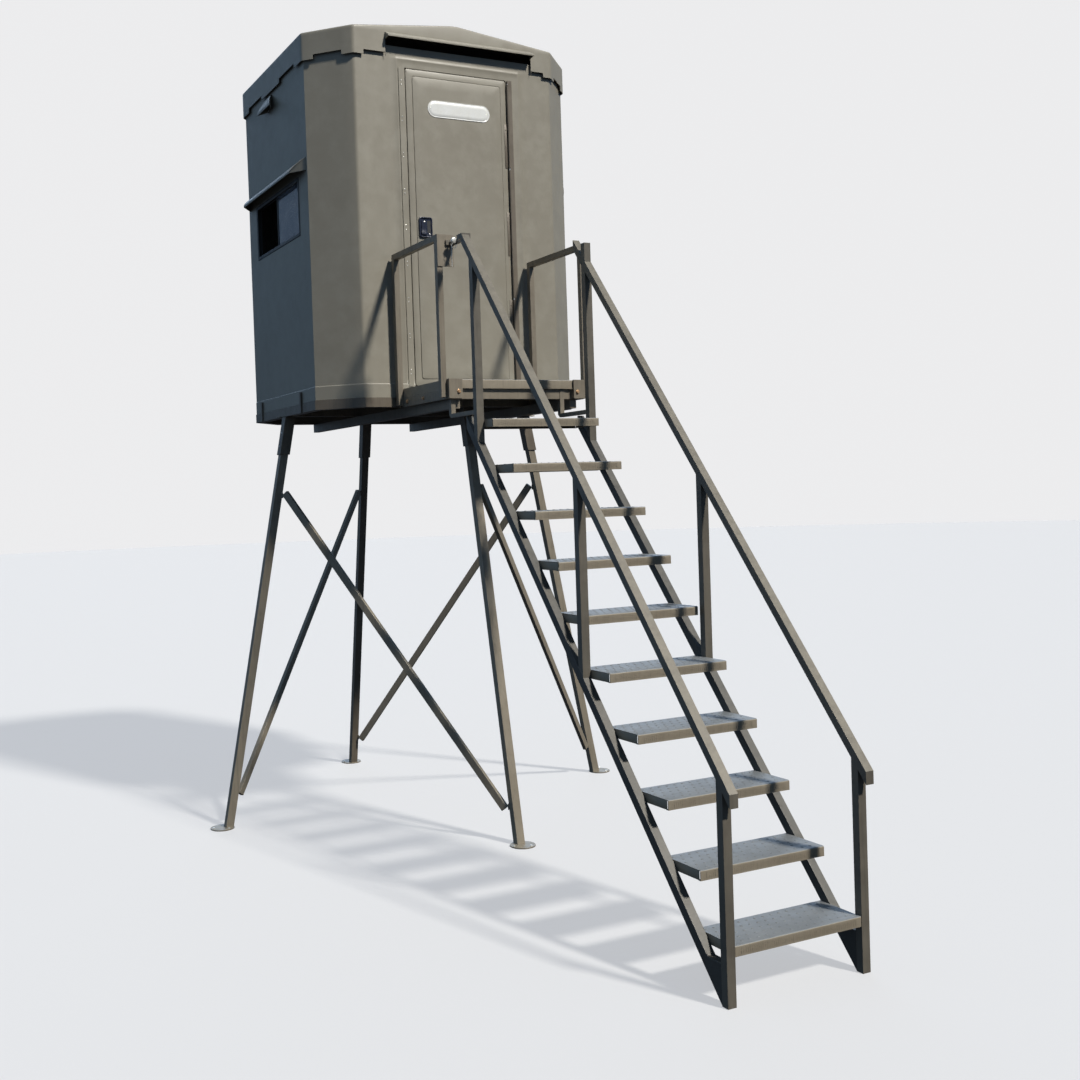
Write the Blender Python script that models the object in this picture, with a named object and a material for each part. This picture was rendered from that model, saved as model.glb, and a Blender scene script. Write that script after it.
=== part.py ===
"""Elevated box blind: a moulded cabin on a four-legged steel tower, with a platform and a staircase.

Metres, +Z up, the door facing -Y. Places are given in the tower's frame, whose origin is on the
ground under the middle of the cabin. The empty named stand carries that frame, so that the world
origin is on the ground under the middle of the whole object.
"""

import math

import bmesh
import bpy
from mathutils import Matrix, Vector

GAP = 0.0003  # clearance between pieces that rest on each other

# Cabin, an eight-sided box
CABIN_X = 1.0175  # half of its width
CABIN_Y = 0.923  # half of its depth
CORNER_CUT = 0.2614
WALL = 0.020
WALL_FOOT_Z = 2.995
WALL_TOP_Z = 5.37
FLOOR_THICK = 0.030

# Roof cap, which slips over the walls
CAP_PROUD = 0.017
CAP_CLEAR = 0.002
CAP_LIP_Z = 5.285
CAP_NOTCH = 0.030
CAP_EAVE_Z = 5.474
CAP_RIDGE_Z = 5.560
CAP_CEILING_Z = 5.445
BROW_X = (-0.53, 0.60)
BROW_TOP_Z = 5.452
BROW_LIP_Z = 5.405
BROW_PROUD = 0.055
BROW_SKIN = 0.010  # thickness of its lip and its ends
BROW_ROOT = 0.026  # height of its underside at the wall above its lip
FRONT_NOTCHES = ((-0.690, -0.565), (0.635, 0.700))
REAR_NOTCH = (-0.60, 0.60)
SIDE_NOTCHES = ((-0.52, -0.20), (0.20, 0.52))
CORNER_NOTCH_HALF = 0.105

# Doorway and door
DOOR_LEFT, DOOR_RIGHT = -0.3800, 0.3965
DOOR_FOOT_Z, DOOR_TOP_Z = 3.075, 5.228
DOOR_THICK = 0.035
DOOR_PLAY = 0.004
DOOR_FIELD = 0.004  # how far the middle of the door stands out of its rim
DOOR_RIM = 0.050
STOP_LAP = 0.020
JAMB_RIM = 0.045  # how far the jamb reaches round the doorway
JAMB_BACK_Y = -0.862
HINGE_X, HINGE_Y = 0.4050, -0.9335
HINGE_R = 0.0075
HINGE_PIN_R = 0.0040
HINGE_ROOM = 0.0095  # half of the space left round a knuckle of the other leaf
HINGE_LEAF = 0.024
HINGE_KNUCKLES = 7
HINGE_Z = (3.10, 5.20)
TRIM_THICK = 0.003
TRIM_WIDTH = 0.036
TRIM_OVERRUN = 0.030  # how far the strips at the jambs run past the hinge's ends
PLATE_SIZE = (0.48, 0.115, 0.003)
PLATE_CENTRE = (0.018, 4.975)

# Paddle latch, near the door's left edge
LATCH_X, LATCH_Z = -0.270, 4.157
PAN_SIZE = (0.127, 0.150)
PAN_THICK = 0.012
PADDLE_SIZE = (0.096, 0.100)
PADDLE_THICK = 0.010
PADDLE_PROUD = 0.004
BOLT_SIZE = (0.080, 0.012, 0.018)
BOLT_THROW = 0.014

# Windows, one in each wall but the front
WINDOW_HALF = 0.480
WINDOW_Z = (4.150, 4.555)
FRAME_RIM = 0.026
FRAME_DEPTH = 0.034
PANE_THICK = 0.005
PANE_OVERLAP = 0.014
PANE_PLAY = 0.001
PANE_DEPTHS = {"fixed": 0.009, "sliding": 0.020}
HOOD_PROUD = 0.085
HOOD_HALF = (0.640, 0.525)  # at the wall, at the lip
HOOD_Z = (4.560, 4.650)
HOOD_LIP = 0.012
SCOOP_HALF = (0.035, 0.150)  # at its top, at its mouth
SCOOP_Z = (5.165, 5.275)
SCOOP_PROUD = 0.055
SCOOP_ALONG = 0.065

# Base frame under the cabin, and the tower
SILL_Z = (2.930, WALL_FOOT_Z - GAP)
SILL_WIDTH = 0.050
SILL_PROUD = 0.004
TAB_TOP_Z = 3.075
TAB_SIZE = (0.012, 0.028)
TAB_ALONG = (-0.385, 0.495)
LEG_TUBE = 0.057
LEG_FOOT = {"left": (-1.5496, 0.0), "front": (0.0, -1.4727), "right": (1.5496, 0.0), "rear": (0.0, 1.4727)}
LEG_HEAD = {"left": (-0.9885, 0.0), "front": (0.0, -0.9172), "right": (0.9885, 0.0), "rear": (0.0, 0.9172)}
LEG_HEAD_Z = 2.9005
SOCKET_WALL = 0.009
SOCKET_FOOT_Z = 2.655
SOCKET_DEEP_Z = 2.900
FOOT_R = 0.085
FOOT_THICK = 0.008
FOOT_OFFSET = 0.045
BRACE_TOP_Z, BRACE_FOOT_Z = 2.36, 0.235
BRACE_TUBE = (0.050, 0.030)
BRACE_STANDOFF = 0.082
BRACE_OVERRUN = 0.020
LUG_REACH = 0.0485
LUG_SIZE = (0.040, 0.008)

# Platform
DECK_Z = (2.990, 3.050)
DECK_HALF = 0.504
PLATFORM_Y = (-1.640, -0.957)
DECK_FRONT_Y, DECK_BACK_Y = -1.660, -0.9285
PLATFORM_Z = (2.925, DECK_Z[0] - GAP)
BEAM_WIDTH = 0.045
CARRIER_X = 0.430
CARRIER_Z = (2.866, SILL_Z[0] - GAP)
CARRIER_BACK_Y = 0.930
CORNER_PLATE_WIDTH = 0.095
CORNER_PLATE_PROUD = 0.015
RAIL_TUBE = 0.038
RAIL_TOP_Z = 3.950
RAIL_FOOT_Z = 2.935
RAIL_Y = (-1.645, -0.950)
CATCH_Z = (3.750, 3.950)
CATCH_WIDTH = 0.115
CATCH_THICK = 0.008

# Staircase: the deck is its top step
STAIR_X = -0.064
TREADS = 10
RISE = DECK_Z[1] / (TREADS + 1)
RUN = 0.2322
TREAD_HALF = 0.3729
TREAD_DEEP = 0.273
TREAD_THICK = 0.052
NOSE_Y = -1.875  # where a tread at deck level would have its front edge
STRINGER_SLOPE = 1.185
STRINGER_HEAD_Y = -1.860
STRINGER_HEAD_Z = 2.7244  # its rear edge there
STRINGER_DROP = 0.0775  # its thickness, measured straight down
STAIR_TUBE = 0.048
POST_DEEP = 0.042
POST_FRONT_Y = {"upper": -2.001, "middle": -3.091, "lower": -4.199}
HANDRAIL_SLOPE = 1.2377
HANDRAIL_Y = (-4.250, -1.870)
HANDRAIL_HEAD_Z = 3.915
HANDRAIL_DROP = 0.064
GUSSET_Z = 0.195
HANGER_WIDTH = 0.030
HANGER_Z = (2.806, 2.832)
STUB_TOP_Z = 3.875
ARM_DROP = (0.034, 0.002)  # underside and top of the left handrail's arm below the rails' heads

# Quick-release pin between the platform rail and the handrail
PIN_X, PIN_Z = -0.456, 3.902
PIN_R = 0.006
PIN_HEAD_R = 0.013
PIN_HEAD_Y = (-0.010, 0.004)  # from the shaft's front end
PIN_Y = (-1.700, -1.640)
PIN_CLEAR = 0.001
PIN_ROOM = 0.016  # the room beside the pin in the left arm's hook
ARM_WEB = 0.014  # the arm's thickness beside that room
HOOK_FROM, HOOK_TO = 0.160, 0.012  # the room's length, from the catch plate
CHAIN_R = 0.0028

STAND_Y = -(HANDRAIL_Y[0] + LEG_FOOT["rear"][1] + FOOT_OFFSET + FOOT_R) / 2

# Colour, roughness, metallic and alpha of each finish
FINISHES = {
    "moulded_plastic": ((0.235, 0.212, 0.160), 0.55, 0.0, 1.0),
    "painted_steel": ((0.200, 0.178, 0.135), 0.45, 0.2, 1.0),
    "tinted_glass": ((0.060, 0.075, 0.090), 0.08, 0.0, 0.5),
    "dark_frame": ((0.030, 0.032, 0.030), 0.50, 0.0, 1.0),
    "latch_black": ((0.012, 0.014, 0.022), 0.30, 0.0, 1.0),
    "bright_steel": ((0.600, 0.580, 0.540), 0.30, 1.0, 1.0),
    "blank_plate": ((0.720, 0.710, 0.680), 0.35, 0.0, 1.0),
}

ACROSS_X = (math.pi / 2, 0.0, math.pi / 2)  # an outline in Y and Z, thick along X
ACROSS_Y = (math.pi / 2, 0.0, 0.0)  # an outline in X and Z, thick along Y
FACING = {"front": 0.0, "right": math.pi / 2, "rear": math.pi, "left": -math.pi / 2}
LEG_ORDER = ("left", "front", "right", "rear")


def clear_scene():
    for obj in list(bpy.data.objects):
        bpy.data.objects.remove(obj, do_unlink=True)


def new_collection(name):
    made = bpy.data.collections.new(name)
    bpy.context.scene.collection.children.link(made)
    return made


def new_material(name, finish):
    colour, roughness, metallic, alpha = FINISHES[finish]
    made = bpy.data.materials.new(name)
    made.use_nodes = True
    shader = made.node_tree.nodes["Principled BSDF"]
    shader.inputs["Base Color"].default_value = (*colour, 1.0)
    shader.inputs["Roughness"].default_value = roughness
    shader.inputs["Metallic"].default_value = metallic
    shader.inputs["Alpha"].default_value = alpha
    return made


clear_scene()
PARTS = new_collection("elevated_blind")
CUTTERS = new_collection("cutters")
PLACES = {}


def new_pivot(name, place, parent=None):
    """An empty at a place in the tower's frame, for pieces to be parented to."""
    pivot = bpy.data.objects.new(name, None)
    PARTS.objects.link(pivot)
    pivot.empty_display_size = 0.1
    PLACES[name] = Vector(place)
    pivot.location = PLACES[name]
    if parent:
        pivot.parent = parent
        pivot.location -= PLACES[parent.name]
    return pivot


STAND = new_pivot("stand", (0.0, 0.0, 0.0))
STAND.location = (0.0, STAND_Y, 0.0)
DOOR_AXIS = new_pivot("door_axis", (HINGE_X, HINGE_Y, DOOR_FOOT_Z), STAND)
PADDLE_AXIS_Z = LATCH_Z + PADDLE_SIZE[1] / 2 - 0.008
PADDLE_AXIS_Y = -(CABIN_Y + DOOR_FIELD + PAN_THICK) + 0.002
PADDLE_AXIS = new_pivot("paddle_axis", (LATCH_X, PADDLE_AXIS_Y, PADDLE_AXIS_Z), DOOR_AXIS)


def new_object(name, mesh, place, turn, finish, pivot):
    """A part with its finish, or, with no finish, a helper that only shapes other parts."""
    obj = bpy.data.objects.new(name, mesh)
    obj.location = Vector(place) - PLACES[pivot.name]
    obj.rotation_euler = turn
    obj.parent = pivot
    if finish:
        PARTS.objects.link(obj)
        mesh.materials.append(new_material(name, finish))
    else:
        CUTTERS.objects.link(obj)
        obj.hide_render = True
        obj.display_type = "WIRE"
    return obj


def mesh_of(name, bm):
    mesh = bpy.data.meshes.new(name)
    bm.to_mesh(mesh)
    bm.free()
    return mesh


def block(name, low, high, finish=None, facing=0.0, pivot=STAND):
    """A box between two corners, which are then turned about the tower's own Z axis."""
    low, high = Vector(low), Vector(high)
    bm = bmesh.new()
    bmesh.ops.create_cube(bm, size=1.0)
    bmesh.ops.scale(bm, vec=high - low, verts=bm.verts)
    place = Matrix.Rotation(facing, 3, "Z") @ ((low + high) / 2)
    return new_object(name, mesh_of(name, bm), place, (0.0, 0.0, facing), finish, pivot)


def leaning_block(name, foot, head, width, finish=None, pivot=STAND):
    """A square post whose ends are level, with its foot and head centres at two places."""
    foot, head = Vector(foot), Vector(head)
    middle = (foot + head) / 2
    bm = bmesh.new()
    bmesh.ops.create_cube(bm, size=1.0)
    for vert in bm.verts:
        centre = head if vert.co.z > 0 else foot
        vert.co = centre - middle + Vector((vert.co.x * width, vert.co.y * width, 0.0))
    return new_object(name, mesh_of(name, bm), middle, (0.0, 0.0, 0.0), finish, pivot)


def bar(name, start, end, width, depth, level, finish=None):
    """A bar from one place to another. Its depth is along level, as nearly as its length allows."""
    start, end = Vector(start), Vector(end)
    along = (end - start).normalized()
    across = along.cross(Vector(level)).normalized()
    up = across.cross(along)
    bm = bmesh.new()
    bmesh.ops.create_cube(bm, size=1.0)
    bmesh.ops.scale(bm, vec=((end - start).length, width, depth), verts=bm.verts)
    turn = Matrix((along, -across, up)).transposed().to_euler()
    return new_object(name, mesh_of(name, bm), (start + end) / 2, turn, finish, STAND)


def hood(name, halves, z_range, proud, along, facing):
    """A moulded eyebrow on a wall: a wedge that is deepest at its lower edge."""
    wall = CABIN_X if facing in (FACING["left"], FACING["right"]) else CABIN_Y
    upper_half, lip_half = halves
    bm = bmesh.new()
    bmesh.ops.create_cube(bm, size=1.0)
    for vert in bm.verts:
        side = math.copysign(1.0, vert.co.x)
        at_lip = vert.co.y < 0
        is_top = vert.co.z > 0
        half = lip_half if at_lip else upper_half
        depth = proud if at_lip else -WALL / 2
        lip_rise = HOOD_LIP if at_lip else z_range[1] - z_range[0]
        vert.co = (side * half, -(wall + depth), z_range[0] + (lip_rise if is_top else 0.0))
    bmesh.ops.translate(bm, vec=(along, 0.0, 0.0), verts=bm.verts)
    return new_object(name, mesh_of(name, bm), (0, 0, 0), (0.0, 0.0, facing), None, STAND)


def outline_mesh(name, loops, thick):
    """A flat outline with its holes, as a closed mesh that is centred on its own plane."""
    curve = bpy.data.curves.new(name, "CURVE")
    curve.dimensions = "2D"
    curve.fill_mode = "BOTH"
    curve.extrude = thick / 2
    for loop in loops:
        spline = curve.splines.new("POLY")
        spline.points.add(len(loop) - 1)
        for point, (across, up) in zip(spline.points, loop):
            point.co = (across, up, 0.0, 1.0)
        spline.use_cyclic_u = True
    guide = bpy.data.objects.new(name, curve)
    bpy.context.scene.collection.objects.link(guide)
    graph = bpy.context.evaluated_depsgraph_get()
    mesh = bpy.data.meshes.new_from_object(guide.evaluated_get(graph))
    bpy.data.objects.remove(guide)
    bm = bmesh.new()
    bm.from_mesh(mesh)
    bmesh.ops.remove_doubles(bm, verts=bm.verts, dist=0.00001)
    bmesh.ops.recalc_face_normals(bm, faces=bm.faces)
    bm.to_mesh(mesh)
    bm.free()
    return mesh


def plate(name, loops, thick, place, turn=(0.0, 0.0, 0.0), finish=None, pivot=STAND):
    return new_object(name, outline_mesh(name, loops, thick), place, turn, finish, pivot)


def side_plate(name, outline, x_range, finish=None):
    """An outline in Y and Z, filled between two values of X."""
    low, high = x_range
    return plate(name, [outline], high - low, ((low + high) / 2, 0, 0), ACROSS_X, finish)


def rod(name, start, end, radius, finish=None, sides=16, pivot=STAND):
    start, end = Vector(start), Vector(end)
    bm = bmesh.new()
    bmesh.ops.create_cone(
        bm, cap_ends=True, segments=sides, radius1=radius, radius2=radius, depth=(end - start).length
    )
    turn = (end - start).to_track_quat("Z", "Y").to_euler()
    made = new_object(name, mesh_of(name, bm), (start + end) / 2, turn, finish, pivot)
    made.data.shade_smooth()
    made.data.set_sharp_from_angle(angle=math.radians(40))
    return made


def shape(target, operation, others):
    for other in others:
        modifier = target.modifiers.new(other.name, "BOOLEAN")
        modifier.operation = operation
        modifier.solver = "EXACT"
        modifier.object = other
    return target


def weld(target, *members):
    return shape(target, "UNION", members)


def cut(target, *cutters):
    return shape(target, "DIFFERENCE", cutters)


def octagon(inset):
    """The cabin's plan, moved inwards by an inset on all eight sides."""
    x, y = CABIN_X - inset, CABIN_Y - inset
    slide = CORNER_CUT - inset * (2 - math.sqrt(2))
    return [
        (-x, -y + slide), (-x + slide, -y), (x - slide, -y), (x, -y + slide),
        (x, y - slide), (x - slide, y), (-x + slide, y), (-x, y - slide),
    ]


def wall_height():
    return WALL_TOP_Z - WALL_FOOT_Z, (WALL_TOP_Z + WALL_FOOT_Z) / 2


def end_shell(name, facing):
    """The front or rear wall with its two cut corners, which turn it into a shallow tray."""
    height, middle = wall_height()
    outer = octagon(0.0)[:4]
    inner = octagon(WALL)
    end_y = outer[0][1]
    inner_end = (outer[0][0] + WALL * math.sqrt(2), end_y)
    loop = outer + [(-inner_end[0], end_y), inner[2], inner[1], inner_end]
    return plate(name, [loop], height, (0, 0, middle), (0.0, 0.0, facing), "moulded_plastic")


def window_cutter(side):
    reach = CABIN_Y if side == "rear" else CABIN_X
    low = (-WINDOW_HALF, -reach - 2 * WALL, WINDOW_Z[0])
    high = (WINDOW_HALF, -reach + 2 * WALL, WINDOW_Z[1])
    return block(f"cut_window_{side}", low, high, facing=FACING[side])


def side_wall(side):
    """A plain wall between the cut corners, with its window, window hood and vent scoop."""
    half = CABIN_Y - CORNER_CUT - GAP
    low = (-half, -CABIN_X, WALL_FOOT_Z)
    high = (half, -CABIN_X + WALL, WALL_TOP_Z)
    wall = block(f"wall_{side}", low, high, "moulded_plastic", FACING[side])
    brow = hood(f"hood_{side}", HOOD_HALF, HOOD_Z, HOOD_PROUD, 0.0, FACING[side])
    to_rear = -SCOOP_ALONG if side == "left" else SCOOP_ALONG
    scoop = hood(f"scoop_{side}", SCOOP_HALF, SCOOP_Z, SCOOP_PROUD, to_rear, FACING[side])
    weld(wall, brow, scoop)
    return cut(wall, window_cutter(side))


def rear_wall():
    shell = end_shell("wall_rear_shell", FACING["rear"])
    weld(shell, hood("hood_rear", HOOD_HALF, HOOD_Z, HOOD_PROUD, 0.0, FACING["rear"]))
    return cut(shell, window_cutter("rear"))


def front_wall():
    """The front wall, with a jamb behind it that the door shuts against."""
    shell = end_shell("wall_front_shell", FACING["front"])
    left, right = DOOR_LEFT - DOOR_PLAY, DOOR_RIGHT + DOOR_PLAY
    foot, top = DOOR_FOOT_Z - DOOR_PLAY, DOOR_TOP_Z + DOOR_PLAY
    jamb_low = (left - JAMB_RIM, -CABIN_Y + WALL - 0.002, foot - JAMB_RIM)
    jamb_high = (right + JAMB_RIM, JAMB_BACK_Y, top + JAMB_RIM)
    pocket_y = -CABIN_Y + DOOR_THICK + 2 * GAP
    weld(shell, block("jamb", jamb_low, jamb_high))
    pocket = block("cut_door_pocket", (left, -CABIN_Y - WALL, foot), (right, pocket_y, top))
    way_low = (left + STOP_LAP, -CABIN_Y - WALL, foot + STOP_LAP)
    way_high = (right - STOP_LAP, JAMB_BACK_Y + WALL, top - STOP_LAP)
    bolt_low, bolt_high = bolt_box(0.0012)
    keeper = block("cut_bolt_keeper", (bolt_low[0], -CABIN_Y - WALL, bolt_low[2]), bolt_high)
    return cut(shell, pocket, block("cut_doorway", way_low, way_high), keeper)


def cabin_floor():
    inset = WALL + 0.0015
    middle = (SILL_Z[1] + GAP + FLOOR_THICK / 2)
    return plate("cabin_floor", [octagon(inset)], FLOOR_THICK, (0, 0, middle), finish="dark_frame")


def roof_slopes():
    """What is taken off a flat-topped cap to leave a low ridge along Y."""
    shoulder = CABIN_X - CORNER_CUT
    far = CABIN_X + 0.2
    loop = [
        (-far, CAP_EAVE_Z), (-shoulder, CAP_EAVE_Z), (0.0, CAP_RIDGE_Z), (shoulder, CAP_EAVE_Z),
        (far, CAP_EAVE_Z), (far, CAP_RIDGE_Z + 0.2), (-far, CAP_RIDGE_Z + 0.2),
    ]
    return plate("cut_roof_slopes", [loop], 4 * CABIN_Y, (0, 0, 0), ACROSS_Y)


def lip_notches():
    """Blocks through opposite sides of the cap's lip, which leave it stepped at its corners."""
    low_z, high_z = CAP_LIP_Z - 0.1, CAP_LIP_Z + CAP_NOTCH
    far = 2 * CABIN_X
    made = []
    for index, (low, high) in enumerate(SIDE_NOTCHES):
        made.append(block(f"cut_notch_side_{index}", (-far, low, low_z), (far, high, high_z)))
    for index, (low, high) in enumerate(FRONT_NOTCHES):
        made.append(block(f"cut_notch_front_{index}", (low, -far, low_z), (high, 0.0, high_z)))
    made.append(block("cut_notch_rear", (REAR_NOTCH[0], 0.0, low_z), (REAR_NOTCH[1], far, high_z)))
    skew = 0.5 * (CABIN_X - CABIN_Y) / math.sqrt(2)
    for name, turn, shift in (("a", math.pi / 4, skew), ("b", -math.pi / 4, -skew)):
        low = (shift - CORNER_NOTCH_HALF, -far, low_z)
        high = (shift + CORNER_NOTCH_HALF, far, high_z)
        made.append(block(f"cut_notch_corner_{name}", low, high, facing=turn))
    return made


def brow_outline():
    """The brow over the door in Y and Z: a sloping sheet with a lip, rooted in the cap."""
    face = -(CABIN_Y + CAP_PROUD)
    root = face + CAP_PROUD / 2
    lip = face - BROW_PROUD
    return [
        (root, BROW_TOP_Z), (face, BROW_TOP_Z), (lip, BROW_LIP_Z + BROW_SKIN), (lip, BROW_LIP_Z),
        (lip + BROW_SKIN, BROW_LIP_Z), (face, BROW_LIP_Z + BROW_ROOT), (root, BROW_LIP_Z + BROW_ROOT),
    ]


def cheek_outline():
    """The triangle that closes an end of the brow."""
    face = -(CABIN_Y + CAP_PROUD)
    root = face + CAP_PROUD / 2
    lip = face - BROW_PROUD
    return [
        (root, BROW_TOP_Z - 0.001), (lip + 0.001, BROW_LIP_Z + BROW_SKIN / 2),
        (lip + 0.001, BROW_LIP_Z), (root, BROW_LIP_Z),
    ]


def roof_cap():
    height = CAP_RIDGE_Z + 0.05 - CAP_LIP_Z
    middle = CAP_LIP_Z + height / 2
    cap = plate("roof_cap", [octagon(-CAP_PROUD)], height, (0, 0, middle), finish="moulded_plastic")
    cut(cap, roof_slopes())
    inside = CAP_CEILING_Z - (CAP_LIP_Z - 0.1)
    hollow_z = CAP_CEILING_Z - inside / 2
    cut(cap, plate("cut_cap_hollow", [octagon(-CAP_CLEAR)], inside, (0, 0, hollow_z)))
    cut(cap, *lip_notches())
    slot_low = (BROW_X[0] + BROW_SKIN, -2 * CABIN_Y, CAP_LIP_Z - 0.1)
    slot_high = (BROW_X[1] - BROW_SKIN, -CABIN_Y - CAP_CLEAR / 2, BROW_LIP_Z + BROW_ROOT)
    cut(cap, block("cut_brow_slot", slot_low, slot_high))
    weld(cap, side_plate("brow", brow_outline(), BROW_X))
    for index, left in enumerate((BROW_X[0], BROW_X[1] - BROW_SKIN)):
        weld(cap, side_plate(f"brow_cheek_{index}", cheek_outline(), (left, left + BROW_SKIN)))
    return cap


def bolt_box(clear):
    """The latch bolt's box, grown by a clearance. It ends in the jamb, past the door's edge."""
    tip = DOOR_LEFT - BOLT_THROW + 0.001
    y = -CABIN_Y + DOOR_THICK * 0.55
    low = (tip - clear, y - BOLT_SIZE[1] / 2 - clear, LATCH_Z - BOLT_SIZE[2] / 2 - clear)
    back, top = y + BOLT_SIZE[1] / 2 + clear, LATCH_Z + BOLT_SIZE[2] / 2 + clear
    return low, (tip + BOLT_SIZE[0] + clear, back, top)


def knuckle_heights(remainder):
    """The foot and top of every second knuckle of the hinge."""
    pitch = (HINGE_Z[1] - HINGE_Z[0]) / HINGE_KNUCKLES
    feet = [HINGE_Z[0] + pitch * index for index in range(remainder, HINGE_KNUCKLES, 2)]
    return [(foot, foot + pitch) for foot in feet]


def knuckles(owner, remainder):
    """Every second knuckle, each a short thick tube on the hinge's axis, 1 mm short at each end."""
    made = []
    for index, (foot, top) in enumerate(knuckle_heights(remainder)):
        ends = (HINGE_X, HINGE_Y, foot + 0.001), (HINGE_X, HINGE_Y, top - 0.001)
        made.append(rod(f"{owner}_knuckle_{index}", *ends, HINGE_R, sides=12))
    return made


def hinge_bore(owner):
    ends = (HINGE_X, HINGE_Y, HINGE_Z[0] - 0.1), (HINGE_X, HINGE_Y, HINGE_Z[1] + 0.1)
    return rod(f"cut_{owner}_hinge_bore", *ends, HINGE_PIN_R + 0.0004, sides=12)


def door_panel():
    low = (DOOR_LEFT, -CABIN_Y, DOOR_FOOT_Z)
    high = (DOOR_RIGHT, -CABIN_Y + DOOR_THICK, DOOR_TOP_Z)
    door = block("door_panel", low, high, "moulded_plastic", pivot=DOOR_AXIS)
    field_low = (DOOR_LEFT + DOOR_RIM, -CABIN_Y - DOOR_FIELD, DOOR_FOOT_Z + DOOR_RIM)
    field_high = (DOOR_RIGHT - DOOR_RIM, -CABIN_Y + 0.005, DOOR_TOP_Z - DOOR_RIM)
    weld(door, block("door_field", field_low, field_high))
    leaf_low = (DOOR_RIGHT - HINGE_LEAF, HINGE_Y + 0.003, HINGE_Z[0] + 0.002)
    leaf_high = (HINGE_X - 0.002, -CABIN_Y - 2 * GAP, HINGE_Z[1] - 0.002)
    leaf = block("door_hinge_leaf", leaf_low, leaf_high)
    for index, (foot, top) in enumerate(knuckle_heights(0)):
        room_low = (HINGE_X - HINGE_ROOM, HINGE_Y - HINGE_ROOM, foot - 0.001)
        cut(leaf, block(f"cut_leaf_{index}", room_low, (HINGE_X, -CABIN_Y, top + 0.001)))
    root_high = (DOOR_RIGHT - 0.002, -CABIN_Y + 0.004, leaf_high[2])
    weld(door, block("door_hinge_root", leaf_low, root_high), leaf, *knuckles("door", 1))
    cut(door, hinge_bore("door"))
    way_low, way_high = bolt_box(0.0005)
    return cut(door, block("cut_bolt_way", way_low, (way_high[0] + BOLT_THROW, *way_high[1:])))


def jamb_hinge():
    low = (HINGE_X + 0.001, HINGE_Y + 0.002, HINGE_Z[0] - TRIM_OVERRUN)
    high = (HINGE_X + TRIM_WIDTH, -CABIN_Y - GAP, HINGE_Z[1] + TRIM_OVERRUN)
    leaf = block("jamb_hinge", low, high, "painted_steel")
    for index, (foot, top) in enumerate(knuckle_heights(1)):
        room_low = (HINGE_X - HINGE_ROOM, HINGE_Y - HINGE_ROOM, foot - 0.001)
        room_high = (HINGE_X + HINGE_ROOM, -CABIN_Y, top + 0.001)
        cut(leaf, block(f"cut_room_{index}", room_low, room_high))
    weld(leaf, *knuckles("jamb", 0))
    return cut(leaf, hinge_bore("jamb"))


def hinge_pin():
    ends = (HINGE_X, HINGE_Y, HINGE_Z[0] - 0.004), (HINGE_X, HINGE_Y, HINGE_Z[1] + 0.004)
    return rod("door_hinge_pin", *ends, HINGE_PIN_R, "bright_steel", sides=12)


def jamb_trim():
    right = DOOR_LEFT - BOLT_THROW - 0.003
    low = (right - TRIM_WIDTH, -CABIN_Y - GAP - TRIM_THICK, HINGE_Z[0] - TRIM_OVERRUN)
    high = (right, -CABIN_Y - GAP, HINGE_Z[1] + TRIM_OVERRUN)
    return block("jamb_trim", low, high, "painted_steel")


def latch():
    """The pan, the paddle that swings out of it by its top edge, and the bolt that it draws."""
    face = -CABIN_Y - DOOR_FIELD - GAP
    half_x, half_z = PAN_SIZE[0] / 2, PAN_SIZE[1] / 2
    pan_low = (LATCH_X - half_x, face - PAN_THICK, LATCH_Z - half_z)
    pan_high = (LATCH_X + half_x, face, LATCH_Z + half_z)
    pan = block("latch_pan", pan_low, pan_high, "latch_black", pivot=DOOR_AXIS)
    in_x, in_z = PADDLE_SIZE[0] / 2, PADDLE_SIZE[1] / 2
    well_low = (LATCH_X - in_x - 0.002, face - 2 * PAN_THICK, LATCH_Z - in_z - 0.012)
    well_high = (LATCH_X + in_x + 0.002, face - 0.002, LATCH_Z + in_z + 0.006)
    cut(pan, block("cut_pan_well", well_low, well_high))
    paddle_y = face - PAN_THICK - PADDLE_PROUD
    paddle_low = (LATCH_X - in_x, paddle_y, LATCH_Z - in_z)
    paddle_high = (LATCH_X + in_x, paddle_y + PADDLE_THICK, LATCH_Z + in_z)
    block("latch_paddle", paddle_low, paddle_high, "latch_black", pivot=PADDLE_AXIS)
    block("latch_bolt", *bolt_box(0.0), "bright_steel", pivot=DOOR_AXIS)


def capsule(width, height, steps=8):
    """A rounded strip: two half circles joined by straight sides."""
    radius = height / 2
    reach = width / 2 - radius
    points = []
    for centre, start in ((reach, -math.pi / 2), (-reach, math.pi / 2)):
        for step in range(steps + 1):
            angle = start + math.pi * step / steps
            points.append((centre + radius * math.cos(angle), radius * math.sin(angle)))
    return points


def name_plate():
    width, height, thick = PLATE_SIZE
    y = -CABIN_Y - DOOR_FIELD - GAP - thick / 2
    place = (PLATE_CENTRE[0], y, PLATE_CENTRE[1])
    plate("name_plate", [capsule(width, height)], thick, place, ACROSS_Y, "blank_plate", DOOR_AXIS)


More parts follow.
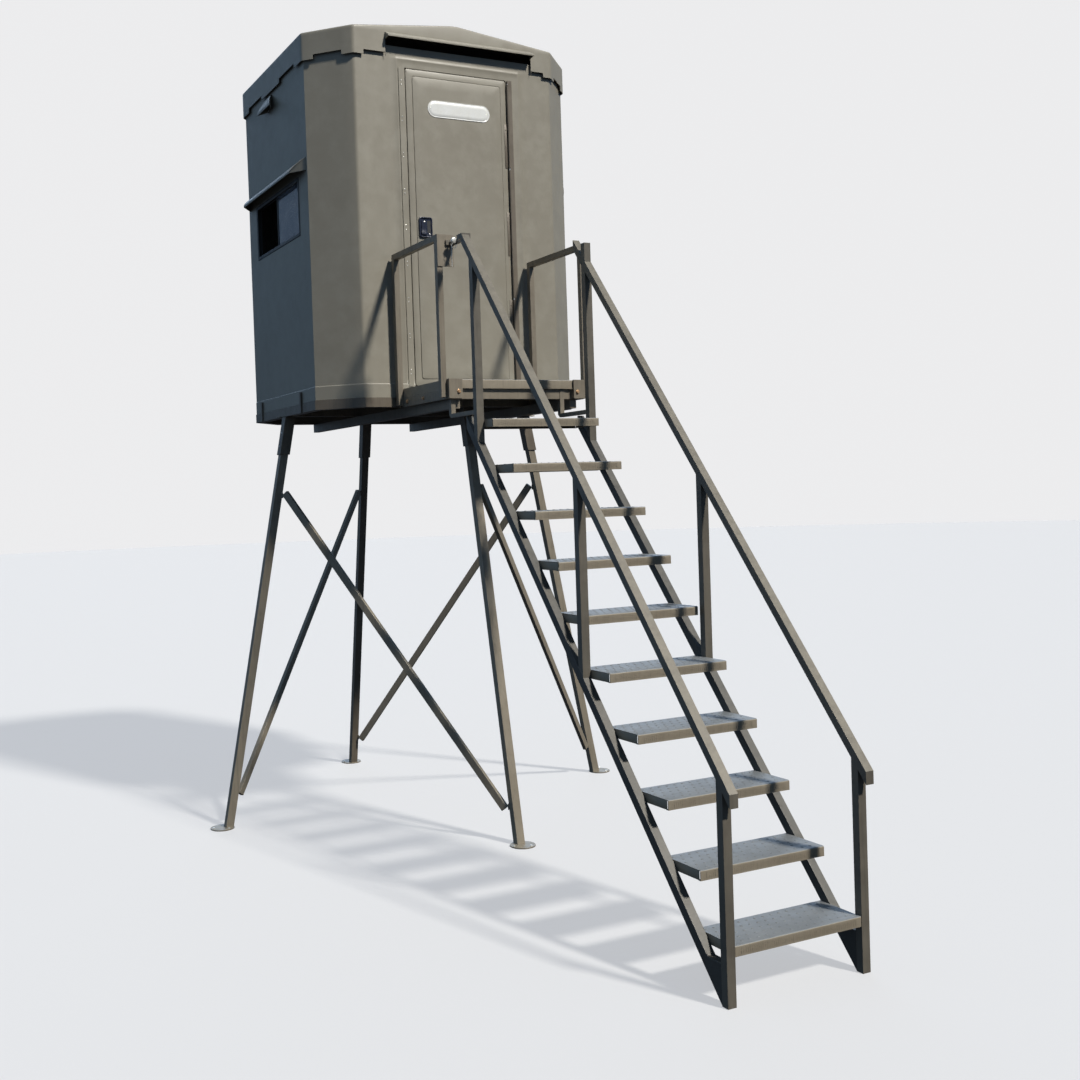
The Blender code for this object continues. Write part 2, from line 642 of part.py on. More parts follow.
def window(side):
    """A frame in the wall, a fixed pane in one half and a sliding pane that is open, behind it."""
    facing = FACING[side]
    face = CABIN_Y if side == "rear" else CABIN_X
    low_z, high_z = WINDOW_Z[0] + GAP, WINDOW_Z[1] - GAP
    half = WINDOW_HALF - GAP
    front_y = -face + 0.003
    back_y = front_y + FRAME_DEPTH
    frame_low, frame_high = (-half, front_y, low_z), (half, back_y, high_z)
    frame = block(f"window_frame_{side}", frame_low, frame_high, "dark_frame", facing)
    in_half = half - FRAME_RIM
    sight_low = (-in_half, front_y - 0.1, low_z + FRAME_RIM)
    sight_high = (in_half, back_y + 0.1, high_z - FRAME_RIM)
    cut(frame, block(f"cut_sight_{side}", sight_low, sight_high, facing=facing))
    to_front = -1.0 if side == "right" else 1.0
    for name, depth in PANE_DEPTHS.items():
        inner, outer = -PANE_OVERLAP * to_front, (in_half - PANE_PLAY) * to_front
        y = front_y + depth
        low = (min(inner, outer), y, sight_low[2] + PANE_PLAY)
        high = (max(inner, outer), y + PANE_THICK, sight_high[2] - PANE_PLAY)
        block(f"window_pane_{name}_{side}", low, high, "tinted_glass", facing)


def base_frame():
    """An eight-sided sill under the walls, a cross that carries the legs, and the upright tabs."""
    middle = (SILL_Z[0] + SILL_Z[1]) / 2
    loops = [octagon(-SILL_PROUD), octagon(SILL_WIDTH)]
    sill = plate("base_frame", loops, SILL_Z[1] - SILL_Z[0], (0, 0, middle), finish="painted_steel")
    half = SILL_WIDTH / 2
    low_z, high_z = SILL_Z[0] + 0.002, SILL_Z[1] - 0.002
    reach_x, reach_y = CABIN_X - half, CABIN_Y - half
    weld(sill, block("cross_x", (-reach_x, -half, low_z), (reach_x, half, high_z)))
    weld(sill, block("cross_y", (-half, -reach_y, low_z + 0.001), (half, reach_y, high_z - 0.001)))
    inner = CABIN_X + 0.0015
    for side in ("left", "right"):
        for index, along in enumerate(TAB_ALONG):
            to_front = -along if side == "left" else along
            low = (to_front - TAB_SIZE[1] / 2, -inner - TAB_SIZE[0], SILL_Z[0] + 0.001)
            high = (to_front + TAB_SIZE[1] / 2, -inner, TAB_TOP_Z)
            weld(sill, block(f"tab_{side}_{index}", low, high, facing=FACING[side]))
    return sill


def leg_centre(side, height):
    foot, head = Vector(LEG_FOOT[side]), Vector(LEG_HEAD[side])
    place = foot.lerp(head, height / LEG_HEAD_Z)
    return Vector((place.x, place.y, height))


def next_leg(side):
    return LEG_ORDER[(LEG_ORDER.index(side) + 1) % len(LEG_ORDER)]


def brace_ends(side):
    """From high on one leg to low on the next, a little off the legs, where their lugs hold it."""
    start = leg_centre(side, BRACE_TOP_Z)
    end = leg_centre(next_leg(side), BRACE_FOOT_Z)
    level = Vector((end.x - start.x, end.y - start.y, 0.0)).normalized()
    return start + level * BRACE_STANDOFF, end - level * BRACE_STANDOFF


def leg(side):
    """A leaning square tube with a lug for each of the two braces that end on it."""
    low, high = leg_centre(side, FOOT_THICK + GAP), leg_centre(side, SOCKET_DEEP_Z - 0.005)
    post = leaning_block(f"leg_{side}", low, high, LEG_TUBE, "painted_steel")
    before = LEG_ORDER[LEG_ORDER.index(side) - 1]
    ends = {"upper": brace_ends(side)[0], "lower": brace_ends(before)[1]}
    for name, end in ends.items():
        centre = leg_centre(side, end.z)
        out = (end - centre).normalized()
        lug = bar(f"lug_{side}_{name}", centre, centre + out * LUG_REACH, LUG_SIZE[1], LUG_SIZE[0], (0, 0, 1))
        weld(post, lug)
    return post


def brace(side):
    """A flat tube whose ends lie beside the lugs, wide side out."""
    start, end = brace_ends(side)
    along = (end - start).normalized()
    outward = Vector((along.y, -along.x, 0.0)).normalized()
    start, end = start - along * BRACE_OVERRUN, end + along * BRACE_OVERRUN
    return bar(f"brace_{side}", start, end, *BRACE_TUBE, outward, "painted_steel")


def foot_plate(side):
    place = Vector((*LEG_FOOT[side], 0.0))
    centre = place + place.normalized() * FOOT_OFFSET
    top = centre + Vector((0, 0, FOOT_THICK))
    return rod(f"foot_plate_{side}", centre, top, FOOT_R, "painted_steel", sides=32)


def leg_socket(side):
    width = LEG_TUBE + 2 * SOCKET_WALL
    low, high = leg_centre(side, SOCKET_FOOT_Z), leg_centre(side, SILL_Z[0] - GAP)
    socket = leaning_block(f"leg_socket_{side}", low, high, width, "painted_steel")
    well_low, well_high = leg_centre(side, SOCKET_FOOT_Z - 0.1), leg_centre(side, SOCKET_DEEP_Z)
    return cut(socket, leaning_block(f"cut_socket_{side}", well_low, well_high, LEG_TUBE + 0.001))


def rectangle(x_range, y_range):
    (left, right), (front, back) = x_range, y_range
    return [(left, front), (right, front), (right, back), (left, back)]


def stair_sides():
    """For each side of the stairs, the X range of its stringer, posts and handrail."""
    inner = TREAD_HALF + 0.002
    outer = inner + STAIR_TUBE
    return {"left": (STAIR_X - outer, STAIR_X - inner), "right": (STAIR_X + inner, STAIR_X + outer)}


def hanger_outline():
    """A hook from the platform's front beam down and forwards to the stairs' upper post."""
    front = PLATFORM_Y[0]
    post_back = POST_FRONT_Y["upper"] + POST_DEEP + GAP
    return [
        (front + 0.030, PLATFORM_Z[1] - 0.004), (front - 0.004, PLATFORM_Z[1] - 0.004),
        (front - 0.004, HANGER_Z[1]), (post_back, HANGER_Z[1]), (post_back, HANGER_Z[0]),
        (front + 0.010, HANGER_Z[0]), (front + 0.030, HANGER_Z[0] + 0.020),
    ]


def corner_outline():
    front = DECK_FRONT_Y - CORNER_PLATE_PROUD
    back = DECK_FRONT_Y - GAP
    return [
        (front, PLATFORM_Z[0] + 0.001), (PLATFORM_Y[0] + 0.010, PLATFORM_Z[0] + 0.001),
        (PLATFORM_Y[0] + 0.010, PLATFORM_Z[1] - 0.003), (back, PLATFORM_Z[1] - 0.003),
        (back, DECK_Z[1] - 0.001), (front, DECK_Z[1] - 0.001),
    ]


def platform_frame():
    """The ring under the deck, the two carriers that run back under the cabin, and the hooks."""
    half = DECK_HALF + 0.001
    outer = rectangle((-half, half), PLATFORM_Y)
    inner_y = (PLATFORM_Y[0] + BEAM_WIDTH, PLATFORM_Y[1] - BEAM_WIDTH)
    inner = rectangle((-half + BEAM_WIDTH, half - BEAM_WIDTH), inner_y)
    height, middle = PLATFORM_Z[1] - PLATFORM_Z[0], (PLATFORM_Z[0] + PLATFORM_Z[1]) / 2
    frame = plate("platform_frame", [outer, inner], height, (0, 0, middle), finish="painted_steel")
    for side, turn in (("left", -1), ("right", 1)):
        x = turn * CARRIER_X
        low = (x - BEAM_WIDTH / 2, PLATFORM_Y[0] + 0.012, CARRIER_Z[0])
        weld(frame, block(f"carrier_{side}", low, (x + BEAM_WIDTH / 2, CARRIER_BACK_Y, CARRIER_Z[1])))
        edges = sorted((turn * (half - 0.001), turn * (half - 0.001 - CORNER_PLATE_WIDTH)))
        weld(frame, side_plate(f"corner_plate_{side}", corner_outline(), edges))
        tube = stair_sides()[side]
        centre = (tube[0] + tube[1]) / 2
        hook = (centre - HANGER_WIDTH / 2, centre + HANGER_WIDTH / 2)
        weld(frame, side_plate(f"hanger_{side}", hanger_outline(), hook))
    return frame


def platform_deck():
    loop = rectangle((-DECK_HALF, DECK_HALF), (DECK_FRONT_Y, DECK_BACK_Y))
    middle = (DECK_Z[0] + DECK_Z[1]) / 2
    return plate("platform_deck", [loop], DECK_Z[1] - DECK_Z[0], (0, 0, middle), finish="painted_steel")


def platform_rail(side):
    """Two posts and a top rail, bolted to the outside of the platform's frame."""
    front, back = RAIL_Y
    loop = [
        (front, RAIL_FOOT_Z), (front, RAIL_TOP_Z), (back, RAIL_TOP_Z), (back, RAIL_FOOT_Z),
        (back - RAIL_TUBE, RAIL_FOOT_Z), (back - RAIL_TUBE, RAIL_TOP_Z - RAIL_TUBE),
        (front + RAIL_TUBE, RAIL_TOP_Z - RAIL_TUBE), (front + RAIL_TUBE, RAIL_FOOT_Z),
    ]
    inner = DECK_HALF + 0.001 + GAP
    x_range = (-inner - RAIL_TUBE, -inner) if side == "left" else (inner, inner + RAIL_TUBE)
    return side_plate(f"platform_rail_{side}", loop, x_range, "painted_steel")


def catch_plate(rail):
    """The plate on the left rail that the quick-release pin holds the handrail to."""
    left = -(DECK_HALF + 0.001 + GAP + RAIL_TUBE)
    front = RAIL_Y[0] - CATCH_THICK + 0.002
    low = (left + 0.001, front, CATCH_Z[0])
    weld(rail, block("catch_plate", low, (left + CATCH_WIDTH, RAIL_Y[0] + 0.002, CATCH_Z[1] - 0.001)))
    ends = (PIN_X, front - 0.1, PIN_Z), (PIN_X, front + 0.1, PIN_Z)
    return cut(rail, rod("cut_catch_hole", *ends, PIN_R + PIN_CLEAR))


def stringer_rear_z(y):
    return STRINGER_HEAD_Z - STRINGER_SLOPE * (STRINGER_HEAD_Y - y)


def stringer_front_z(y):
    return stringer_rear_z(y) + STRINGER_DROP


def stringer(side):
    """A sloping tube that ends against the lower post, with a gusset in the angle at its foot."""
    foot_y = POST_FRONT_Y["lower"] + POST_DEEP + GAP
    gusset_y = STRINGER_HEAD_Y - (STRINGER_HEAD_Z + STRINGER_DROP - GUSSET_Z) / STRINGER_SLOPE
    loop = [
        (foot_y, stringer_rear_z(foot_y)), (foot_y, GUSSET_Z), (gusset_y, GUSSET_Z),
        (STRINGER_HEAD_Y, stringer_front_z(STRINGER_HEAD_Y)), (STRINGER_HEAD_Y, STRINGER_HEAD_Z),
    ]
    return side_plate(f"stringer_{side}", loop, stair_sides()[side], "painted_steel")


def handrail_top_z(y):
    return HANDRAIL_HEAD_Z - HANDRAIL_SLOPE * (HANDRAIL_Y[1] - y)


def handrail_under_z(y):
    return handrail_top_z(y) - HANDRAIL_DROP


def handrail_loop():
    """The handrail's outline with its three posts hanging from it, lowest post first."""
    low_y, high_y = HANDRAIL_Y
    loop = [(high_y, handrail_top_z(high_y)), (low_y, handrail_top_z(low_y))]
    loop.append((low_y, handrail_under_z(low_y)))
    for name in ("lower", "middle", "upper"):
        front = POST_FRONT_Y[name]
        back = front + POST_DEEP
        front_foot, back_foot = stringer_front_z(front) + GAP * 2, stringer_front_z(back) + GAP * 2
        if name == "lower":
            front_foot, back_foot = 0.0, 0.0
        loop += [(front, handrail_under_z(front)), (front, front_foot)]
        loop += [(back, back_foot), (back, handrail_under_z(back))]
    return loop + [(high_y, handrail_under_z(high_y))]


def arm_heights():
    head = handrail_top_z(HANDRAIL_Y[1])
    return head - ARM_DROP[0], head - ARM_DROP[1]


def left_arm(rail, x_range):
    """A hook that reaches the catch plate, open on its outer side, with the quick-release pin through its end."""
    low_z, high_z = arm_heights()
    end_y = RAIL_Y[0] - CATCH_THICK + 0.002 - GAP
    arm_low = (x_range[0] + 0.001, HANDRAIL_Y[1] - 0.010, low_z)
    inner_x = PIN_X + PIN_ROOM
    weld(rail, block("arm_left", arm_low, (inner_x + ARM_WEB, end_y, high_z)))
    ends = (PIN_X, end_y - 0.030, PIN_Z), (PIN_X, end_y + 0.1, PIN_Z)
    slot_low = (x_range[0] - 0.05, end_y - HOOK_FROM, low_z - 0.05)
    slot_high = (inner_x, end_y - HOOK_TO, high_z + 0.05)
    hole = rod("cut_arm_hole", *ends, PIN_R + PIN_CLEAR)
    return cut(rail, hole, block("cut_arm_slot", slot_low, slot_high))


def right_stub(rail, x_range):
    """The upper post's head, which stands beside the right handrail's upper end."""
    post_y = POST_FRONT_Y["upper"]
    stub_low = (x_range[0] + 0.001, post_y + 0.001, stringer_front_z(post_y) + 0.1)
    stub_high = (x_range[1] - 0.001, post_y + POST_DEEP - 0.001, STUB_TOP_Z)
    return weld(rail, block("post_stub", stub_low, stub_high))


def handrail(side):
    x_range = stair_sides()[side]
    rail = side_plate(f"handrail_{side}", handrail_loop(), x_range, "painted_steel")
    return left_arm(rail, x_range) if side == "left" else right_stub(rail, x_range)


def tread(number):
    front = NOSE_Y - RUN * number
    top = DECK_Z[1] - RISE * number
    low = (STAIR_X - TREAD_HALF, front, top - TREAD_THICK)
    high = (STAIR_X + TREAD_HALF, front + TREAD_DEEP, top)
    return block(f"stair_tread_{number:02d}", low, high, "painted_steel")


def quick_pin():
    front, back = PIN_Y
    shaft = rod("quick_pin", (PIN_X, front, PIN_Z), (PIN_X, back, PIN_Z), PIN_R, "bright_steel")
    head_ends = (PIN_X, front + PIN_HEAD_Y[0], PIN_Z), (PIN_X, front + PIN_HEAD_Y[1], PIN_Z)
    return weld(shaft, rod("quick_pin_head", *head_ends, PIN_HEAD_R))


def pin_chain():
    """A short chain that hangs beside the pin's head, down to the foot of the catch plate."""
    y = RAIL_Y[0] - CATCH_THICK - 0.040
    path = [
        (0.0, y, PIN_Z - 0.017), (0.002, y + 0.004, PIN_Z - 0.060), (0.004, y + 0.016, PIN_Z - 0.110),
        (0.004, y + 0.034, PIN_Z - 0.138), (0.002, y + 0.0375, PIN_Z - 0.150),
    ]
    curve = bpy.data.curves.new("pin_chain", "CURVE")
    curve.dimensions = "3D"
    curve.bevel_depth = CHAIN_R
    curve.bevel_resolution = 1
    curve.use_fill_caps = True
    spline = curve.splines.new("POLY")
    spline.points.add(len(path) - 1)
    for point, place in zip(spline.points, path):
        point.co = (*place, 1.0)
    chain = bpy.data.objects.new("pin_chain", curve)
    chain.location = (PIN_X, 0.0, 0.0)
    chain.parent = STAND
    curve.materials.append(new_material("pin_chain", "bright_steel"))
    PARTS.objects.link(chain)


def main():
    cabin_floor()
    front_wall()
    rear_wall()
    side_wall("left")
    side_wall("right")
    roof_cap()
    door_panel()
    jamb_hinge()
    hinge_pin()
    jamb_trim()
    latch()
    name_plate()
    for side in ("left", "right", "rear"):
        window(side)
    base_frame()
    for side in LEG_ORDER:
        leg(side)
        leg_socket(side)
        foot_plate(side)
        brace(side)
    platform_frame()
    platform_deck()
    catch_plate(platform_rail("left"))
    platform_rail("right")
    for side in ("left", "right"):
        stringer(side)
        handrail(side)
    for number in range(1, TREADS + 1):
        tread(number)
    quick_pin()
    pin_chain()


main()
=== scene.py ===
import math
import random

import bmesh
import bpy
from mathutils import Matrix, Vector, noise


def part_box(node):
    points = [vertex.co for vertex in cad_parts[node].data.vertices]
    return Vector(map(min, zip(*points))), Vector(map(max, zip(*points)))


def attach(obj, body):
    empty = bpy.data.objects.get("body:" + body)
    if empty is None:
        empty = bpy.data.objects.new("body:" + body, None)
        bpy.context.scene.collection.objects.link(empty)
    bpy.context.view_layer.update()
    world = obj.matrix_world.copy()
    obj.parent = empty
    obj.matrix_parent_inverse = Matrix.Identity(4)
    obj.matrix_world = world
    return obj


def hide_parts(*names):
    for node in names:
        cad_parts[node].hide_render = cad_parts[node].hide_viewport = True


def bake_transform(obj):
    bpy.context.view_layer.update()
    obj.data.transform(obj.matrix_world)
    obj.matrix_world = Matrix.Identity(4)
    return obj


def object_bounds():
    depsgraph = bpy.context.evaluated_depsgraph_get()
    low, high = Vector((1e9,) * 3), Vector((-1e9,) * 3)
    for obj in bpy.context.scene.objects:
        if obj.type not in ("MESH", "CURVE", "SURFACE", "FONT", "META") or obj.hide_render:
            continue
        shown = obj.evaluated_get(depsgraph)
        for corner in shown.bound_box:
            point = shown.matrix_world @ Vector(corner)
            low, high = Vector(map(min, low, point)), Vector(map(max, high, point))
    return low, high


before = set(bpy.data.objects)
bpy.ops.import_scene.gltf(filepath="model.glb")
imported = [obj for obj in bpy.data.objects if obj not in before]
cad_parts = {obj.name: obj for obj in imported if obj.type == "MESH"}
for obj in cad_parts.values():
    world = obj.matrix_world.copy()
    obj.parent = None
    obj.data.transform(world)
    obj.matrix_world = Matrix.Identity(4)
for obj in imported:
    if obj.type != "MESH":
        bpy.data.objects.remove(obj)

CAD_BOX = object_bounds()
random.seed(7)

# Pieces are made in the tower's own frame: on the ground, under the middle of the cabin.
FLOOR_LOW, FLOOR_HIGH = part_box("cabin_floor")
TOWER = Vector(((FLOOR_LOW.x + FLOOR_HIGH.x) / 2, (FLOOR_LOW.y + FLOOR_HIGH.y) / 2, 0.0))


def span(node):
    """Lowest and highest corner of a CAD node in the tower's frame."""
    low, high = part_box(node)
    return low - TOWER, high - TOWER


RING_Z = (2.925, span("platform_deck")[0].z)
CORNER_PROUD = 0.015
SHELL_LOW, SHELL_HIGH = span("wall_front_shell")
CABIN_X = SHELL_HIGH.x
CABIN_Y = -SHELL_LOW.y
CORNER_CUT = SHELL_HIGH.y - SHELL_LOW.y
WALL_Z = (SHELL_LOW.z, SHELL_HIGH.z)
WALL = 0.020
CORNER_R = 0.018
SKIRT_TOP = WALL_Z[0] + 0.095
# Spacing of a moulded wall's points, and the room that a wanted point keeps clear of the rest.
GRID = 0.060
CLOSE = 0.006

DOOR_LOW, DOOR_HIGH = span("door_panel")
LEAF_LOW, LEAF_HIGH = span("jamb_hinge")
TRIM_LOW, TRIM_HIGH = span("jamb_trim")
HINGE_X = span("door_hinge_pin")[0].x / 2 + span("door_hinge_pin")[1].x / 2
HINGE_Y = span("door_hinge_pin")[0].y / 2 + span("door_hinge_pin")[1].y / 2
DOOR_X = (DOOR_LOW.x, HINGE_X - 0.0085)
DOOR_Z = (DOOR_LOW.z, DOOR_HIGH.z)
DOOR_FACE = span("name_plate")[1].y + 0.0003
DOOR_BACK = DOOR_HIGH.y
DOOR_PLAY = 0.004
JAMB_BACK = -0.862

WINDOW_LOW, WINDOW_HIGH = span("window_frame_rear")
WINDOW_HALF = WINDOW_HIGH.x
WINDOW_Z = (WINDOW_LOW.z, WINDOW_HIGH.z)

ROOF_LOW, ROOF_HIGH = span("roof_cap")
CAP_X, CAP_Y = ROOF_HIGH.x, ROOF_HIGH.y
EAVE_Z = ROOF_HIGH.z - 0.086
BROW_X = (-0.53, 0.60)
BROW_TOP, BROW_ROOT = 5.452, 5.431

FACING = {"front": 0.0, "right": math.pi / 2, "rear": math.pi, "left": -math.pi / 2}
REACH = {"front": CABIN_Y, "rear": CABIN_Y, "left": CABIN_X, "right": CABIN_X}
SIDES = ("left", "front", "right", "rear")


# Materials

def feed(tree, socket, value):
    """Links a socket to another, or sets its value."""
    if isinstance(value, bpy.types.NodeSocket):
        tree.links.new(value, socket)
    else:
        socket.default_value = value


def node(tree, kind, **inputs):
    made = tree.nodes.new("ShaderNode" + kind)
    for name, value in inputs.items():
        feed(tree, made.inputs[name.replace("_", " ")], value)
    return made


def noise_at(tree, place, scale, detail=3.0, roughness=0.5):
    """A grey noise, as a socket."""
    made = node(tree, "TexNoise", Vector=place, Scale=scale, Detail=detail, Roughness=roughness)
    return made.outputs["Fac"]


def stretched(tree, place, scale):
    """Coordinates scaled apart along X, Y and Z."""
    return node(tree, "Mapping", Vector=place, Scale=scale).outputs["Vector"]


def band(tree, value, low, high, to_low=0.0, to_high=1.0):
    """A range of a value, stretched to another range and clamped."""
    made = node(tree, "MapRange", Value=value, From_Min=low, From_Max=high, To_Min=to_low, To_Max=to_high)
    return made.outputs["Result"]


def blend(tree, factor, first, second):
    """A colour between two others."""
    made = tree.nodes.new("ShaderNodeMix")
    made.data_type = "RGBA"
    for index, value in ((0, factor), (6, first), (7, second)):
        feed(tree, made.inputs[index], (*value, 1.0) if isinstance(value, tuple) else value)
    return made.outputs[2]


def times(tree, first, second):
    """The product of two numbers."""
    made = tree.nodes.new("ShaderNodeMath")
    made.operation = "MULTIPLY"
    for socket, value in zip(made.inputs, (first, second)):
        feed(tree, socket, value)
    return made.outputs[0]


def bump(tree, height, strength, distance, before=None):
    made = node(tree, "Bump", Height=height, Strength=strength, Distance=distance)
    if before is not None:
        tree.links.new(before, made.inputs["Normal"])
    return made.outputs["Normal"]


def started(name, roughness, metallic=0.0, **constants):
    """A new material with its tree, its shader and its object coordinates."""
    made = bpy.data.materials.new(name)
    made.use_nodes = True
    tree = made.node_tree
    shader = tree.nodes["Principled BSDF"]
    shader.inputs["Roughness"].default_value = roughness
    shader.inputs["Metallic"].default_value = metallic
    for socket, value in constants.items():
        shader.inputs[socket.replace("_", " ")].default_value = value
    place = node(tree, "TexCoord").outputs["Object"]
    return made, tree, shader, place


def upward(tree):
    """How far a surface faces up, from 0 to 1, where dust lies; on the steel it is also where a painted sheen
    lightens the tops.
    """
    normal = node(tree, "NewGeometry").outputs["Normal"]
    height = node(tree, "SeparateXYZ", Vector=normal).outputs["Z"]
    return band(tree, height, 0.25, 0.88)


def moulded_plastic(name, base, lighter, darker):
    """Rotomoulded polyethylene: cloudy colour, lighter blotches that are partly random tone and partly a
    painted sheen, faint rain streaks, an orange-peel skin and soft waves.
    """
    made, tree, shader, place = started(name, 0.45, Specular_IOR_Level=0.5)
    clouds = band(tree, noise_at(tree, place, 1.1, 4.0, 0.6), 0.30, 0.70)
    colour = blend(tree, clouds, darker, base)
    # Lighter blotches: partly random tone, partly a painted sheen of the wavy skin.
    tone_and_sheen_blotches = band(tree, noise_at(tree, place, 7.0, 5.0, 0.65), 0.45, 0.75)
    colour = blend(tree, times(tree, tone_and_sheen_blotches, 0.45), colour, lighter)
    streaks = noise_at(tree, stretched(tree, place, (26.0, 26.0, 0.7)), 1.0, 4.0, 0.7)
    colour = blend(tree, band(tree, streaks, 0.55, 0.85, 0.0, 0.35), colour, darker)
    top_lightening = noise_at(tree, place, 30.0, 4.0, 0.7)
    colour = blend(tree, times(tree, upward(tree), band(tree, top_lightening, 0.3, 0.8, 0.1, 0.6)), colour, DUST)
    tree.links.new(colour, shader.inputs["Base Color"])
    rough = band(tree, noise_at(tree, place, 14.0, 5.0, 0.7), 0.3, 0.7, 0.36, 0.54)
    tree.links.new(rough, shader.inputs["Roughness"])
    waves = bump(tree, noise_at(tree, place, 2.6, 2.0, 0.5), 0.35, 0.006)
    peel = bump(tree, noise_at(tree, place, 420.0, 2.0, 0.6), 0.22, 0.0006, waves)
    tree.links.new(peel, shader.inputs["Normal"])
    return made


def painted_steel(name, base, lighter, worn, grime=0.5, dust_and_sheen=1.0):
    """Powder coat on steel: slight orange peel, rubbed brown patches, runs of grime, and a tan on what faces
    up that is partly dust and partly a painted sheen.
    """
    made, tree, shader, place = started(name, 0.42, 0.15, Specular_IOR_Level=0.55)
    clouds = band(tree, noise_at(tree, place, 3.5, 4.0, 0.6), 0.35, 0.65)
    colour = blend(tree, clouds, base, lighter)
    rubbed = band(tree, noise_at(tree, place, 11.0, 6.0, 0.72), 0.56, 0.74)
    colour = blend(tree, times(tree, rubbed, 0.45), colour, worn)
    runs = noise_at(tree, stretched(tree, place, (60.0, 60.0, 3.0)), 1.0, 5.0, 0.7)
    colour = blend(tree, band(tree, runs, 0.50, 0.85, 0.0, grime), colour, GRIME)
    specks = band(tree, noise_at(tree, place, 190.0, 3.0, 0.6), 0.66, 0.74)
    colour = blend(tree, times(tree, specks, 0.5), colour, RUST)
    # Tan on upward faces: real dust, and partly a painted sheen that lightens the tops.
    top_lightening = band(tree, noise_at(tree, place, 45.0, 4.0, 0.7), 0.3, 0.8, 0.35 * dust_and_sheen, dust_and_sheen)
    colour = blend(tree, times(tree, upward(tree), top_lightening), colour, TAN_DUST_AND_SHEEN)
    tree.links.new(colour, shader.inputs["Base Color"])
    rough = band(tree, noise_at(tree, place, 24.0, 5.0, 0.7), 0.3, 0.7, 0.32, 0.55)
    tree.links.new(rough, shader.inputs["Roughness"])
    coat = bump(tree, noise_at(tree, place, 26.0, 3.0, 0.5), 0.25, 0.0012)
    peel = bump(tree, noise_at(tree, place, 620.0, 2.0, 0.5), 0.20, 0.0004, coat)
    tree.links.new(peel, shader.inputs["Normal"])
    return made


def sky_tinted_top_paint(name, base, lighter):
    """Blue-grey coat on the tops of the treads and the deck, a painted reflection of a cool sky, kept darker
    as painted shade: fine grit, scuffed along where feet land.
    """
    made, tree, shader, place = started(name, 0.48, 0.0, Specular_IOR_Level=0.6)
    clouds = band(tree, noise_at(tree, place, 5.0, 5.0, 0.65), 0.35, 0.70)
    colour = blend(tree, clouds, base, lighter)
    scuffs = noise_at(tree, stretched(tree, place, (8.0, 60.0, 8.0)), 1.0, 5.0, 0.7)
    colour = blend(tree, band(tree, scuffs, 0.55, 0.80, 0.0, 0.5), colour, SCUFF)
    grit = noise_at(tree, place, 520.0, 2.0, 0.6)
    colour = blend(tree, band(tree, grit, 0.55, 0.75, 0.0, 0.35), colour, GRIME)
    tree.links.new(colour, shader.inputs["Base Color"])
    rough = band(tree, noise_at(tree, place, 20.0, 5.0, 0.7), 0.3, 0.7, 0.34, 0.56)
    tree.links.new(rough, shader.inputs["Roughness"])
    tree.links.new(bump(tree, grit, 0.35, 0.0007), shader.inputs["Normal"])
    return made


def dark_rubber(name, base):
    """Gaskets and window channels."""
    made, tree, shader, place = started(name, 0.6)
    clouds = band(tree, noise_at(tree, place, 22.0, 4.0, 0.6), 0.3, 0.8)
    colour = blend(tree, clouds, base, tuple(2.2 * part for part in base))
    tree.links.new(colour, shader.inputs["Base Color"])
    tree.links.new(band(tree, clouds, 0.0, 1.0, 0.45, 0.70), shader.inputs["Roughness"])
    tree.links.new(bump(tree, noise_at(tree, place, 700.0, 2.0, 0.5), 0.2, 0.0004), shader.inputs["Normal"])
    return made


def plated_metal(name, base, tarnish, roughness):
    """Zinc or brass-coloured plating, lightly brushed and tarnished."""
    made, tree, shader, place = started(name, roughness, 0.6)
    patches = band(tree, noise_at(tree, place, 60.0, 5.0, 0.7), 0.40, 0.75)
    tree.links.new(blend(tree, patches, base, tarnish), shader.inputs["Base Color"])
    brushed = noise_at(tree, stretched(tree, place, (900.0, 900.0, 60.0)), 1.0, 2.0, 0.5)
    rough = band(tree, brushed, 0.3, 0.7, roughness * 0.7, roughness * 1.4)
    tree.links.new(rough, shader.inputs["Roughness"])
    tree.links.new(bump(tree, brushed, 0.12, 0.0003), shader.inputs["Normal"])
    return made


def glossy_black(name, base, edge):
    """The latch: dark blue-black moulding with a soft gloss and fine scratches."""
    made, tree, shader, place = started(name, 0.25, 0.0, Coat_Weight=0.35, Coat_Roughness=0.15)
    clouds = band(tree, noise_at(tree, place, 45.0, 4.0, 0.6), 0.3, 0.8)
    tree.links.new(blend(tree, clouds, base, edge), shader.inputs["Base Color"])
    scratches = noise_at(tree, stretched(tree, place, (400.0, 400.0, 30.0)), 1.0, 3.0, 0.6)
    tree.links.new(band(tree, scratches, 0.3, 0.75, 0.2, 0.45), shader.inputs["Roughness"])
    tree.links.new(bump(tree, noise_at(tree, place, 350.0, 2.0, 0.5), 0.1, 0.0003), shader.inputs["Normal"])
    return made


def white_badge(name):
    """Off-white printed plate, a little yellowed and dusty, with nothing on it."""
    made, tree, shader, place = started(name, 0.3, 0.0, Coat_Weight=0.3, Coat_Roughness=0.2)
    clouds = band(tree, noise_at(tree, place, 18.0, 4.0, 0.6), 0.35, 0.8)
    colour = blend(tree, clouds, (0.78, 0.78, 0.75), (0.66, 0.65, 0.60))
    dirt = band(tree, noise_at(tree, place, 90.0, 5.0, 0.75), 0.62, 0.8, 0.0, 0.5)
    tree.links.new(blend(tree, dirt, colour, (0.40, 0.37, 0.30)), shader.inputs["Base Color"])
    tree.links.new(band(tree, clouds, 0.0, 1.0, 0.22, 0.42), shader.inputs["Roughness"])
    tree.links.new(bump(tree, noise_at(tree, place, 240.0, 2.0, 0.5), 0.08, 0.0003), shader.inputs["Normal"])
    return made


